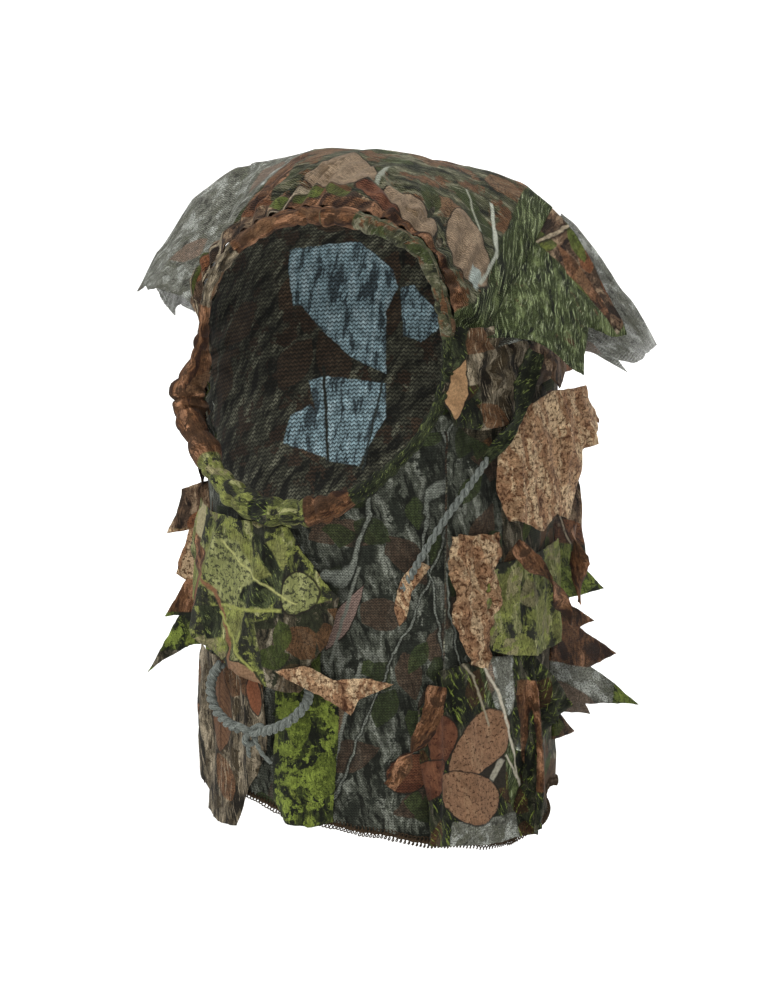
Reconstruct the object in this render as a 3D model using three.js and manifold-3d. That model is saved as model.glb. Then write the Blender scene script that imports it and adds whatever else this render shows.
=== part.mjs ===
// A leafy camouflage face mask: a pull-on mesh hood with an elastic face opening, a two-layer brim
// that stands out as wings, cut-cloth leaves sewn round it, and a drawcord at the neck.
// Millimetres, +Z up. The face looks along -Y and +X is the viewer's right. The origin is where the
// crown of the wearer's head touches the inside of the hood.
// Angles round the hood run from the face (0) towards +X (90).
import * as THREE from "three";
import { mergeVertices } from "three/addons/utils/BufferGeometryUtils.js";
import Module from "manifold-3d";

const wasm = await Module();
wasm.setup();

const HALF_WIDTH = 108; // hood, side to side
const HALF_DEPTH = 120; // hood, front to back
const DOME_HEIGHT = 95; // crown to the level where the walls hang straight
const FRONT_HEM = 393; // crown to hem at the chest
const SIDE_HEM = 423; // crown to hem at the shoulders and back
const CLOTH = 1.2; // one cloth layer with its pile
const GAP = 0.4; // between pieces that are sewn together
const CROWN_GAP = 4; // degrees left open at the pole of the dome, under the seam tape

const OPENING = { z: -109, halfWidth: 86, halfHeight: 89 }; // centre line of the rim casing
const RIM_RADIUS = 5.5; // casing, outside
const RIM_BORE = 4.2; // casing, inside
const EDGE_GROW = 4; // the hood's cut edge lies this far outside the casing's centre line
const NECK_HALF = 80.4; // half the width cut out of the side panels for the neck panel
const NECK_TOP = -151;
const NECK_ANGLE = 47.4;

const BRIM_TIP = 177; // crown line to wing tip
const BRIM_TOP = 6; // height of the brim over the crown
const BRIM_DROP = 105; // crown line down to wing tip
const BRIM_SWEEP = 78; // how far round the opening the brim is sewn, each way
const BRIM_GROW = 8; // its sewn edge, outside the casing's centre line
const BRIM_STAND = 9; // and in front of the hood wall
const BRIM_BACK = 25; // back edge of the front layer
const WING_ROOT = 104; // half the distance between the two fold lines at the back

const CORD_RADIUS = 3.2; // two twisted strands
const TAIL_RADIUS = 1.6; // one strand
const LEAF_RADIUS = 114; // turns millimetres across a leaf into an angle round the hood

const rad = THREE.MathUtils.degToRad;
const lerp = THREE.MathUtils.lerp;

const point = (x, y, z) => new THREE.Vector3(x, y, z);

const root = new THREE.Group();

function addMesh(name, geometry, color, roughness = 0.9) {
  const material = new THREE.MeshStandardMaterial({ color, roughness, metalness: 0 });
  const mesh = new THREE.Mesh(geometry, material);
  mesh.name = name;
  root.add(mesh);
  return mesh;
}

// ---- Solids ----

function toSolid(geometry) {
  const bare = geometry.clone();
  bare.deleteAttribute("normal");
  bare.deleteAttribute("uv");
  const merged = mergeVertices(bare, 1e-3);
  return new wasm.Manifold(
    new wasm.Mesh({
      numProp: 3,
      vertProperties: merged.attributes.position.array,
      triVerts: new Uint32Array(merged.index.array),
    }),
  );
}

function toGeometry(solid) {
  const mesh = solid.getMesh();
  const geometry = new THREE.BufferGeometry();
  geometry.setAttribute("position", new THREE.BufferAttribute(mesh.vertProperties, 3));
  geometry.setIndex(new THREE.BufferAttribute(mesh.triVerts, 1));
  geometry.computeVertexNormals();
  return geometry;
}

// A box whose grid is bent: place(across 0..1, down 0..1, through -0.5..0.5) gives each point.
function bentSheet(acrossSteps, downSteps, place) {
  const geometry = new THREE.BoxGeometry(1, 1, 1, acrossSteps, downSteps, 1);
  const position = geometry.getAttribute("position");
  for (let i = 0; i < position.count; i++) {
    const across = position.getX(i) + 0.5;
    const down = 0.5 - position.getY(i);
    const p = place(across, down, position.getZ(i));
    position.setXYZ(i, p.x, p.y, p.z);
  }
  geometry.computeVertexNormals();
  return geometry;
}

// One layer of cloth along middle(across, down), with its thickness square to the surface.
function clothSheet(acrossSteps, downSteps, middle) {
  const NEAR = 1e-3;
  return bentSheet(acrossSteps, downSteps, (across, down, through) => {
    const alongAcross = middle(across + NEAR, down).sub(middle(across - NEAR, down));
    const alongDown = middle(across, down + NEAR).sub(middle(across, down - NEAR));
    const face = alongDown.cross(alongAcross).normalize();
    return middle(across, down).addScaledVector(face, through * CLOTH);
  });
}

// A ring turned from a closed profile and then bent: place(turn, out, rise) gives each point.
function bentRing(profile, steps, place) {
  const RING = 50;
  const points = profile.map(([out, rise]) => new THREE.Vector2(RING + out, rise));
  points.push(points[0].clone());
  const geometry = new THREE.LatheGeometry(points, steps);
  const position = geometry.getAttribute("position");
  for (let i = 0; i < position.count; i++) {
    const x = position.getX(i);
    const z = position.getZ(i);
    const p = place(Math.atan2(x, z), Math.hypot(x, z) - RING, position.getY(i));
    position.setXYZ(i, p.x, p.y, p.z);
  }
  geometry.computeVertexNormals();
  return geometry;
}

// A value read from an evenly spaced list at t from 0 to 1.
function along(list, t) {
  const at = t * (list.length - 1);
  const i = Math.min(Math.floor(at), list.length - 2);
  return list.length === 1 ? list[0] : lerp(list[i], list[i + 1], at - i);
}

function tube(points, radius, steps) {
  const section = new THREE.Shape();
  section.absarc(0, 0, radius, 0, 2 * Math.PI);
  return new THREE.ExtrudeGeometry(section, {
    extrudePath: new THREE.CatmullRomCurve3(points),
    steps,
    curveSegments: 4,
    bevelEnabled: false,
  });
}

// ---- The hood's own surface ----

// Cosine of the dome angle at a height: 1 at the crown, 0 on the straight walls.
const domeLift = (z) => (z > -DOME_HEIGHT ? 1 + z / DOME_HEIGHT : 0);
const domeSpread = (z) => Math.sqrt(1 - domeLift(z) ** 2);

function hoodPoint(turn, z, stand = 0) {
  const spread = domeSpread(z);
  return new THREE.Vector3(
    (HALF_WIDTH + stand) * spread * Math.sin(turn),
    -(HALF_DEPTH + stand) * spread * Math.cos(turn),
    z + stand * domeLift(z),
  );
}

function hemHeight(turn) {
  const front = Math.max(0, Math.cos(turn)) ** 2;
  return -lerp(SIDE_HEM, FRONT_HEM, front);
}

// A point round the face opening, turn 0 at the forehead; grow widens the oval.
function openingPoint(turn, grow, stand) {
  const x = (OPENING.halfWidth + grow) * Math.sin(turn);
  const z = OPENING.z + (OPENING.halfHeight + grow) * Math.cos(turn);
  return hoodPoint(Math.asin(x / (HALF_WIDTH * domeSpread(z))), z, stand);
}

// ---- Hood panels, seam, hem ----

function hoodShell(fromAngle, toAngle, topAngle, acrossSteps, domeRows, wallRows) {
  const rows = domeRows + wallRows;
  return bentSheet(acrossSteps, rows, (across, down, through) => {
    const turn = rad(lerp(fromAngle, toAngle, across));
    const row = down * rows;
    const dome = rad(lerp(topAngle, 90, Math.min(row / domeRows, 1)));
    const wall = Math.max(0, (row - domeRows) / wallRows);
    const top = -DOME_HEIGHT * (1 - Math.cos(dome));
    const z = wall > 0 ? lerp(-DOME_HEIGHT, hemHeight(turn), wall) : top;
    return hoodPoint(turn, z, through * CLOTH);
  });
}

function openingCutter() {
  const oval = new THREE.Shape();
  const width = OPENING.halfWidth + EDGE_GROW;
  const height = OPENING.halfHeight + EDGE_GROW;
  oval.absellipse(0, OPENING.z, width, height, 0, 2 * Math.PI);
  const cutter = new THREE.ExtrudeGeometry(oval, {
    depth: 2 * HALF_DEPTH,
    bevelEnabled: false,
    curveSegments: 20,
  });
  return toSolid(cutter.rotateX(Math.PI / 2));
}

function neckCutter() {
  const bottom = -SIDE_HEM - 20;
  const box = new THREE.BoxGeometry(2 * NECK_HALF, 2 * HALF_DEPTH, NECK_TOP - bottom);
  box.translate(0, -HALF_DEPTH, (NECK_TOP + bottom) / 2);
  return toSolid(box);
}

function hoodSide(side) {
  const from = side < 0 ? -180 : 0;
  const shell = hoodShell(from, from + 180, CROWN_GAP, 14, 5, 5);
  shell.translate((side * GAP) / 2, 0, 0);
  const cut = toSolid(shell).subtract(openingCutter()).subtract(neckCutter());
  return toGeometry(cut);
}

function hoodFront() {
  const top = NECK_TOP + 12;
  const panel = bentSheet(8, 4, (across, down, through) => {
    const turn = rad(lerp(-NECK_ANGLE, NECK_ANGLE, across));
    return hoodPoint(turn, lerp(top, hemHeight(turn), down), through * CLOTH);
  });
  return toGeometry(toSolid(panel).subtract(openingCutter()));
}

function centreSeam() {
  const WIDTH = 7;
  const FRONT = -30;
  const STAND = CLOTH + 3 * GAP;
  const domeRows = 10;
  const rows = 16;
  return bentSheet(1, rows, (across, down, through) => {
    const row = down * rows;
    const dome = rad(lerp(FRONT, 90, Math.min(row / domeRows, 1)));
    const wall = Math.max(0, (row - domeRows) / (rows - domeRows));
    const stand = STAND + through * CLOTH;
    return new THREE.Vector3(
      (0.5 - across) * WIDTH,
      (HALF_DEPTH + stand) * Math.sin(dome),
      (DOME_HEIGHT + stand) * Math.cos(dome) - DOME_HEIGHT - wall * (SIDE_HEM - DOME_HEIGHT),
    );
  });
}

function hemBinding() {
  const HALF = 1.6;
  const TALL = 4;
  const profile = [[HALF, -GAP - TALL], [HALF, -GAP], [-HALF, -GAP], [-HALF, -GAP - TALL]];
  return bentRing(profile, 40, (turn, out, rise) => {
    return hoodPoint(turn, hemHeight(turn) + rise, out);
  });
}

// ---- Rim of the face opening ----

function rimRing(profile, steps) {
  return bentRing(profile, steps, (turn, out, rise) => {
    const centre = openingPoint(turn, 0, 0);
    const outward = openingPoint(turn, 0, 1).sub(centre).normalize();
    const inPlane = openingPoint(turn, 1, 0).sub(openingPoint(turn, -1, 0)).normalize();
    return centre.addScaledVector(inPlane, out).addScaledVector(outward, -rise);
  });
}

// The casing is a folded tube, open along the slit where the hood's edge goes in.
function rimCasing() {
  const SLIT = 40;
  const SIDES = 6;
  const profile = [];
  for (const [radius, start, end] of [[RIM_RADIUS, SLIT, 360 - SLIT], [RIM_BORE, 360 - SLIT, SLIT]])
    for (let i = 0; i <= SIDES; i++) {
      const angle = rad(lerp(start, end, i / SIDES));
      profile.push([radius * Math.cos(angle), radius * Math.sin(angle)]);
    }
  return rimRing(profile, 36);
}

function rimElastic() {
  return rimRing([[1.8, -0.8], [1.8, 0.8], [-2.4, 0.8], [-2.4, -0.8]], 36);
}

// ---- Brim ----

const brimArch = (x) => BRIM_TOP - BRIM_DROP * Math.abs(x / BRIM_TIP) ** 2.75;

// Where a fold line starts, beside the face opening, and ends, over the crown's side.
const foldFront = (side) => openingPoint(side * rad(BRIM_SWEEP), BRIM_GROW, BRIM_STAND);
const foldBack = (side) => new THREE.Vector3(side * WING_ROOT, BRIM_BACK, brimArch(WING_ROOT));

function brimCrown() {
  const BULGE = 8;
  return clothSheet(14, 6, (across, down) => {
    const x = 2 * across - 1;
    const back = new THREE.Vector3(x * WING_ROOT, BRIM_BACK, brimArch(x * WING_ROOT));
    const front = openingPoint(x * rad(BRIM_SWEEP), BRIM_GROW, BRIM_STAND);
    const p = back.lerp(front, down);
    p.z += BULGE * 4 * down * (1 - down) * (1 - x * x);
    return p;
  });
}

function brimBackCrown() {
  const BULGE = 9;
  const UNDER = 3; // how far its front edge stays inside the front layer's back edge
  const SWEEP = 62;
  const REST = -34; // height at which its back edge is sewn to the dome
  const STAND = 4;
  return clothSheet(12, 4, (across, down) => {
    const x = 2 * across - 1;
    const reach = x * (WING_ROOT - UNDER);
    const front = new THREE.Vector3(reach, BRIM_BACK + 2, brimArch(reach) - UNDER);
    const p = hoodPoint(rad(180 - x * SWEEP), REST, STAND).lerp(front, down);
    p.z += BULGE * 4 * down * (1 - down);
    return p;
  });
}

// A wing between a fold line and its tip. Corners run front root, back root, front tip, back tip.
function wing(side, [frontRoot, backRoot, frontTip, backTip]) {
  const BULGE = 8;
  const swell = point(side * 0.5, 0, 0.86);
  return clothSheet(6, 5, (across, down) => {
    const reach = side > 0 ? across : 1 - across;
    const inner = backRoot.clone().lerp(frontRoot, down);
    const outer = backTip.clone().lerp(frontTip, down);
    return inner.lerp(outer, reach).addScaledVector(swell, BULGE * 4 * reach * (1 - reach));
  });
}

function brimWings() {
  const OUT = 1.2; // a front wing's root lies just outside and under the fold line
  const UNDER = 0.6;
  const roots = (side) => {
    const step = point(side * OUT, 0, -UNDER);
    return [foldFront(side).add(step), foldBack(side).add(step)];
  };
  const backRoots = (side) => [point(side * 104, -56, -95), point(side * 107, 36, -23)];
  addMesh(
    "brim_front_left",
    wing(-1, [...roots(-1), point(-163, -12, -93), point(-176, 2, -94)]),
    0x8f9187,
  );
  addMesh(
    "brim_front_right",
    wing(1, [...roots(1), point(153, -45, -115), point(167, -8, -87)]),
    0x5f6a48,
  );
  addMesh(
    "brim_back_left",
    wing(-1, [...backRoots(-1), point(-148, 2, -108), point(-172, 14, -99)]),
    0xa7a9a4,
  );
  addMesh(
    "brim_back_right",
    wing(1, [...backRoots(1), point(163, 6, -120), point(178, 14, -99)]),
    0x8d877b,
  );
}

// ---- Cut-cloth flaps on the hood wall ----

// A flap from one angle to another, hanging from height top. drops are its lengths at even steps
// across; insets are how far its left and right edges come in at even steps down; stand is how far
// it lies off the wall at its top and bottom; flare lifts its right (or left, if negative) edge;
// lean turns its foot round the hood, in degrees.
function wallFlap({ from, to, top, drops, insets = [[0, 0]], stand, flare = 0, lean = 0, grid }) {
  const lefts = insets.map((pair) => pair[0]);
  const rights = insets.map((pair) => pair[1]);
  return bentSheet(grid[0], grid[1], (across, down, through) => {
    const left = rad(from) + along(lefts, down) / LEAF_RADIUS;
    const right = rad(to) - along(rights, down) / LEAF_RADIUS;
    const turn = lerp(left, right, across) + rad(lean) * down;
    const side = flare > 0 ? across : 1 - across;
    const lift = lerp(stand[0], stand[1], down) + Math.abs(flare) * side * side;
    return hoodPoint(turn, top - along(drops, across) * down, lift + through * CLOTH);
  });
}

// A fringe that stands out from a seam down the hood wall, with teeth given as [depth, width].
function sideFringe(seamAngle, heading, teeth) {
  const STAND = 2;
  const DROOP = 0.12;
  const rows = teeth.length - 1;
  const out = point(Math.sin(rad(heading)), -Math.cos(rad(heading)), -DROOP);
  const face = point(Math.cos(rad(heading)), Math.sin(rad(heading)), 0);
  return bentSheet(1, rows, (across, down, through) => {
    const [depth, width] = teeth[Math.round(down * rows)];
    const p = hoodPoint(rad(seamAngle), -depth, STAND);
    const reach = seamAngle > 0 ? across : 1 - across;
    const turned = seamAngle > 0 ? 1 : -1;
    return p.addScaledVector(out, reach * width).addScaledVector(face, -turned * through * CLOTH);
  });
}

const LEAF_FLAPS = {
  bib_flap: {
    color: 0x6f7a33,
    from: -58,
    to: 12,
    top: -210,
    drops: [62, 80, 84, 94, 84],
    stand: [4, 24],
    grid: [8, 4],
  },
  bib_leaf: {
    color: 0x7a5236,
    from: 2,
    to: 30,
    top: -292,
    drops: [16, 18, 8, 3],
    stand: [25, 27],
    grid: [3, 1],
  },
  lower_left_flap: {
    color: 0x6b5a45,
    from: -60,
    to: -14,
    top: -300,
    drops: [80, 97, 96, 84],
    insets: [[0, 0], [-3, 0], [6, 2]],
    stand: [4, 8],
    grid: [6, 4],
  },
  moss_flap: {
    color: 0x5f7a28,
    from: -7,
    to: 14,
    top: -300,
    drops: [88, 90, 84],
    stand: [3, 6],
    grid: [2, 3],
  },
  left_side_leaf: {
    color: 0x7d6248,
    from: -108,
    to: -70,
    top: -140,
    drops: [40, 66, 72, 50],
    stand: [5, 11],
    grid: [6, 3],
  },
  left_lower_patch: {
    color: 0x4b4a38,
    from: -106,
    to: -66,
    top: -346,
    drops: [62, 66],
    stand: [3, 4],
    grid: [4, 2],
  },
  right_mesh_flap: {
    color: 0x6a5140,
    from: 77,
    to: 110,
    top: -104,
    drops: [24, 30, 24],
    stand: [4, 6],
    grid: [4, 2],
  },
  spotted_leaf: {
    color: 0x9a7150,
    from: 72,
    to: 107,
    top: -138,
    drops: [44, 68, 74, 60, 28],
    stand: [7, 12],
    flare: 20,
    grid: [8, 3],
  },
  fluffy_strip: {
    color: 0x7b5a3c,
    from: 48,
    to: 60,
    top: -216,
    drops: [72, 78, 70],
    stand: [4, 8],
    grid: [2, 4],
  },
  lime_leaf: {
    color: 0x4d5a22,
    from: 63,
    to: 104,
    top: -236,
    drops: [50, 60, 56],
    stand: [4, 6],
    grid: [4, 2],
  },
  twist_strip_a: {
    color: 0x8f5a34,
    from: 68,
    to: 76,
    top: -222,
    drops: [62],
    stand: [11, 15],
    lean: 24,
    grid: [1, 4],
  },
  twist_strip_b: {
    color: 0x9b6238,
    from: 94,
    to: 101,
    top: -222,
    drops: [50],
    stand: [18, 21],
    lean: 2,
    grid: [1, 3],
  },
  right_patch: {
    color: 0x3f4328,
    from: 38,
    to: 104,
    top: -300,
    drops: [100, 110, 114],
    stand: [3, 4],
    grid: [7, 3],
  },
  curled_strip: {
    color: 0x8d5f3d,
    from: 38,
    to: 45,
    top: -303,
    drops: [62],
    insets: [[0, 0], [1, 1]],
    stand: [7, 15],
    lean: -13,
    grid: [1, 4],
  },
  front_sliver: {
    color: 0x8a776a,
    from: 22,
    to: 30,
    top: -234,
    drops: [22, 26],
    stand: [4, 8],
    grid: [1, 2],
  },
  back_leaf_upper: {
    color: 0x5c5a3c,
    from: 148,
    to: 212,
    top: -116,
    drops: [70, 98, 78, 100, 74],
    stand: [5, 16],
    grid: [8, 3],
  },
  back_leaf_lower: {
    color: 0x66523c,
    from: 146,
    to: 214,
    top: -226,
    drops: [96, 122, 100, 126, 98],
    stand: [5, 18],
    grid: [8, 3],
  },
};

const RIGHT_TEETH = [
  [182, 10], [200, 18], [228, 20], [250, 25], [262, 36], [269, 12], [283, 32], [289, 21],
  [302, 47], [313, 29], [336, 61], [341, 24], [348, 27], [352, 8], [360, 18], [368, 4],
];
const LEFT_TEETH = [
  [218, 6], [232, 30], [240, 14], [254, 26], [264, 12], [290, 34], [298, 18], [323, 46],
  [328, 20], [338, 4],
];

function leafFlaps() {
  for (const [name, { color, ...shape }] of Object.entries(LEAF_FLAPS))
    addMesh(name, wallFlap(shape), color);
  addMesh("right_fringe", sideFringe(112, 106, RIGHT_TEETH), 0x6f6a4e);
  addMesh("left_fringe", sideFringe(-80, -96, LEFT_TEETH), 0x5d6a3a);
}

// Bunched cloth beside the opening, in upright folds.
function gatherTab() {
  const FOLDS = 3;
  const DEPTH = 2; // of a fold, either way
  const THICK = 3;
  const STAND = 6;
  return bentSheet(12, 3, (across, down, through) => {
    const turn = rad(lerp(60, 76, across));
    const fold = DEPTH * Math.sin(2 * Math.PI * FOLDS * across);
    return hoodPoint(turn, lerp(-104, -132, down), STAND + fold + through * THICK);
  });
}

// ---- Ties and cords ----

const onWall = ([angle, z, stand]) => hoodPoint(rad(angle), z, stand);

function tieStrap() {
  const TOP_WIDTH = 12;
  const FOOT_WIDTH = 5;
  const route = [[74, -106, 15], [70, -124, 15], [66, -145, 15], [58, -168, 12]];
  const curve = new THREE.CatmullRomCurve3(route.map(onWall));
  return bentSheet(1, 8, (across, down, through) => {
    const p = curve.getPoint(down);
    const heading = curve.getTangent(down);
    const outward = point(p.x, p.y, 0).normalize();
    const side = new THREE.Vector3().crossVectors(outward, heading).normalize();
    const width = lerp(TOP_WIDTH, FOOT_WIDTH, down);
    return p.addScaledVector(side, (across - 0.5) * width).addScaledVector(outward, through * CLOTH);
  });
}

const CORDS = {
  tie_cord: {
    radius: 2,
    steps: 10,
    color: 0x70746a,
    route: [[57.4, -170, 12], [52, -184, 10], [45, -203, 8], [38, -226, 7], [33.5, -243, 6]],
  },
  drawcord_left: {
    radius: CORD_RADIUS,
    steps: 8,
    color: 0x8d938f,
    route: [
      [-29, -300.2, 9], [-31, -307, 12], [-30.5, -315, 15], [-27, -324, 18],
      [-21, -330, 20], [-15.2, -333, 21],
    ],
  },
  drawcord_right: {
    radius: CORD_RADIUS,
    steps: 8,
    color: 0x8d938f,
    route: [
      [5, -300.2, 9], [6, -306, 12], [5.4, -313, 15], [2, -322, 18],
      [-2.4, -328, 20], [-6.4, -331.6, 21],
    ],
  },
  drawcord_tail_left: {
    radius: TAIL_RADIUS,
    steps: 4,
    color: 0x8d938f,
    route: [[-11.6, -339.2, 21], [-11.8, -344, 20], [-12.2, -350, 18]],
  },
  drawcord_tail_right: {
    radius: TAIL_RADIUS,
    steps: 4,
    color: 0x8d938f,
    route: [[-9.2, -338.6, 21], [-7.4, -345, 20], [-5, -352, 17]],
  },
};

function tiesAndCords() {
  addMesh("tie_strap", tieStrap(), 0x3f4a34);
  for (const [name, { radius, steps, color, route }] of Object.entries(CORDS))
    addMesh(name, tube(route.map(onWall), radius, steps), color);

  const casing = { from: -32, to: 8, top: -284, drops: [13.5], stand: [5, 5], grid: [4, 1] };
  addMesh("neck_casing", wallFlap(casing), 0x4c4a3a);

  const KNOT_SIZE = [14, 10, 9.2];
  const KNOT_AT = [-10.8, -333.6, 21];
  const ball = new THREE.SphereGeometry(0.5, 10, 7).scale(...KNOT_SIZE);
  const knot = addMesh("drawcord_knot", ball, 0x868c86);
  knot.position.copy(onWall(KNOT_AT));
  knot.rotation.z = rad(KNOT_AT[0]);
}

addMesh("hood_left", hoodSide(-1), 0x3c4034);
addMesh("hood_right", hoodSide(1), 0x45473a);
addMesh("hood_front", hoodFront(), 0x5b6054);
addMesh("centre_seam", centreSeam(), 0x33372e);
addMesh("hem_binding", hemBinding(), 0x2e2620);
addMesh("rim_casing", rimCasing(), 0x7a5a34);
addMesh("rim_elastic", rimElastic(), 0xb9b9b0, 0.6);
addMesh("brim_crown", brimCrown(), 0x6d684f);
addMesh("brim_back_crown", brimBackCrown(), 0x7a7460);
brimWings();
leafFlaps();
addMesh("gather_tab", gatherTab(), 0x52523e);
tiesAndCords();

export default root;
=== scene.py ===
import math

import bpy
import numpy as np
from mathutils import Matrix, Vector
from mathutils.geometry import delaunay_2d_cdt


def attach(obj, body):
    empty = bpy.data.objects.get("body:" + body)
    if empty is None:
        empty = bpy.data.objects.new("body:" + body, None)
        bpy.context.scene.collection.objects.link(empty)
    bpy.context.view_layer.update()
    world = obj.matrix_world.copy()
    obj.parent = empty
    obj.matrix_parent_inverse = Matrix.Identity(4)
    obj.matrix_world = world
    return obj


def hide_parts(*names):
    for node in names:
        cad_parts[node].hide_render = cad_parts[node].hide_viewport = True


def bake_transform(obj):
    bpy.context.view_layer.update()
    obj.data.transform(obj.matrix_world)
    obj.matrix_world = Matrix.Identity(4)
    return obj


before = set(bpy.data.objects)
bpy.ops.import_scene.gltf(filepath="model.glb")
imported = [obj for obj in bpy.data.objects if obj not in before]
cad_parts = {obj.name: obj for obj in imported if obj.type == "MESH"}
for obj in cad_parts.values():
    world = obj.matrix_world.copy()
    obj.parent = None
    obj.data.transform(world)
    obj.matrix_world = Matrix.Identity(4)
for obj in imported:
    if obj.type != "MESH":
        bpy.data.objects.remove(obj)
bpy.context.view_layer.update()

MM = 0.001
# The CAD's own sizes, repeated: the hood, its hem, the face opening, the neck panel and the brim.
HALF_WIDTH, HALF_DEPTH, DOME_HEIGHT = 0.108, 0.120, 0.095
FRONT_HEM, SIDE_HEM = 0.393, 0.423
OPENING_Z, OPENING_HALF_WIDTH, OPENING_HALF_HEIGHT = -0.109, 0.086, 0.089
OPENING_MEAN = (OPENING_HALF_WIDTH + OPENING_HALF_HEIGHT) / 2
NECK_HALF, NECK_TOP, NECK_ANGLE = 0.0804, -0.151, 47.4
BRIM_TIP, BRIM_TOP, BRIM_DROP, BRIM_SWEEP = 0.177, 0.006, 0.105, 78
BRIM_GROW, BRIM_STAND, BRIM_BACK, WING_ROOT = 0.008, 0.009, 0.025, 0.104
LEAF_RADIUS = 0.114  # turns metres across a leaf into an angle round the hood
THICK = 0.0006  # one layer of cloth
ELASTIC_RADIUS, STITCH_RADIUS, OVERLOCK_RADIUS, KNOT_STRAND = 0.0013, 0.00035, 0.00042, 0.0020
STITCH_LENGTH = 0.0032
CLOTH_STEP, NECK_STEP, FLUFF_STEP = 0.0024, 0.0027, 0.0013  # between the points of a cut cloth
HOOD_CUT = (0.36, 0.50)  # flat size of one half of the hood
# of its flat rectangle that a sheet's declared area may be
LEAST_SHARE = 0.301  # of its flat rectangle that a sheet's measured area is held to, at the least
MARK_RIM = 1.1  # millimetres of dark outline round a printed leaf
WHOLE_TURN = 6.283  # radians, as the patterns take it


# ---- Camera, light, floor ----

def add_camera():
    """Stands the camera to the viewer's left of straight on, a little above the mask's own level."""
    azimuth, elevation, distance = math.radians(25), math.radians(12), 2.2
    height_seen = 0.62  # metres of the object's plane in the frame's height
    back = Vector((
        math.sin(azimuth) * math.cos(elevation),
        -math.cos(azimuth) * math.cos(elevation),
        math.sin(elevation),
    ))
    right = Vector((math.cos(azimuth), math.sin(azimuth), 0))
    up = back.cross(right)
    middle = right * 0.002 - up * 0.209
    data = bpy.data.cameras.new("camera")
    data.sensor_width = 36
    data.lens = data.sensor_width * distance / height_seen
    camera = bpy.data.objects.new("camera", data)
    camera.location = middle + back * distance
    camera.rotation_mode = "QUATERNION"
    camera.rotation_quaternion = (-back).to_track_quat("-Z", "Y")
    bpy.context.scene.collection.objects.link(camera)
    bpy.context.scene.camera = camera


def add_light(name, at, target, size, power):
    data = bpy.data.lights.new(name, "AREA")
    data.shape = "SQUARE"
    data.size = size
    data.energy = power
    light = bpy.data.objects.new(name, data)
    light.location = at
    light.rotation_mode = "QUATERNION"
    light.rotation_quaternion = (Vector(target) - Vector(at)).to_track_quat("-Z", "Y")
    bpy.context.scene.collection.objects.link(light)


def add_studio():
    middle = (0, 0, -0.2)
    add_light("key", (-1.1, -1.1, 1.7), middle, 0.9, 44)
    add_light("front", (0.9, -2.1, 0.15), middle, 1.0, 14)
    add_light("top", (0.6, 0.6, 1.8), middle, 1.4, 22)
    add_light("back", (0.6, 1.9, 0.7), middle, 1.4, 20)
    add_light("inside", (0.03, -0.02, -0.38), (-0.04, 0.08, -0.1), 0.12, 0.9)
    world = bpy.data.worlds.new("studio")
    bpy.context.scene.world = world
    world.use_nodes = True
    background = world.node_tree.nodes["Background"]
    background.inputs["Color"].default_value = (1, 1, 1, 1)
    background.inputs["Strength"].default_value = 0.72
    bpy.context.scene.view_settings.view_transform = "Standard"

    size, drop = 14, 0.95
    mesh = bpy.data.meshes.new("floor")
    corners = [(-size, -size, -drop), (size, -size, -drop), (size, size, -drop), (-size, size, -drop)]
    mesh.from_pydata(corners, [], [(0, 1, 2, 3)])
    floor = bpy.data.objects.new("floor", mesh)
    bpy.context.scene.collection.objects.link(floor)
    backdrop = bpy.data.objects.new("backdrop", mesh)
    backdrop.location = (0, 5, 0)
    backdrop.rotation_euler = (math.pi / 2, 0, 0)
    bpy.context.scene.collection.objects.link(backdrop)
    add_light("backdrop_light", (-1.5, 2.6, 1.6), (-1.5, 5, 0.6), 2.5, 130)
    tree = Tree("floor")
    grain = tree.noise(tree.position(), 40, detail=3)
    shade = tree.mix(grain, rgb("f4f4f2"), rgb("fbfbfa"))
    tree.finish(shade)
    mesh.materials.append(tree.material)


# ---- Material nodes ----

def rgb(code):
    """A colour written as six hex digits, in linear light."""
    parts = [int(code[i:i + 2], 16) / 255 for i in (0, 2, 4)]
    return tuple(((c + 0.055) / 1.055) ** 2.4 if c > 0.04045 else c / 12.92 for c in parts) + (1,)


class Value:
    """A node's output that can be used in arithmetic."""

    def __init__(self, tree, socket):
        self.tree = tree
        self.socket = socket

    def __add__(self, other):
        return self.tree.math("ADD", self, other)

    def __sub__(self, other):
        return self.tree.math("SUBTRACT", self, other)

    def __rsub__(self, other):
        return self.tree.math("SUBTRACT", other, self)

    def __mul__(self, other):
        return self.tree.math("MULTIPLY", self, other)

    __radd__ = __add__
    __rmul__ = __mul__

    def __abs__(self):
        return self.tree.math("ABSOLUTE", self)


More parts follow.
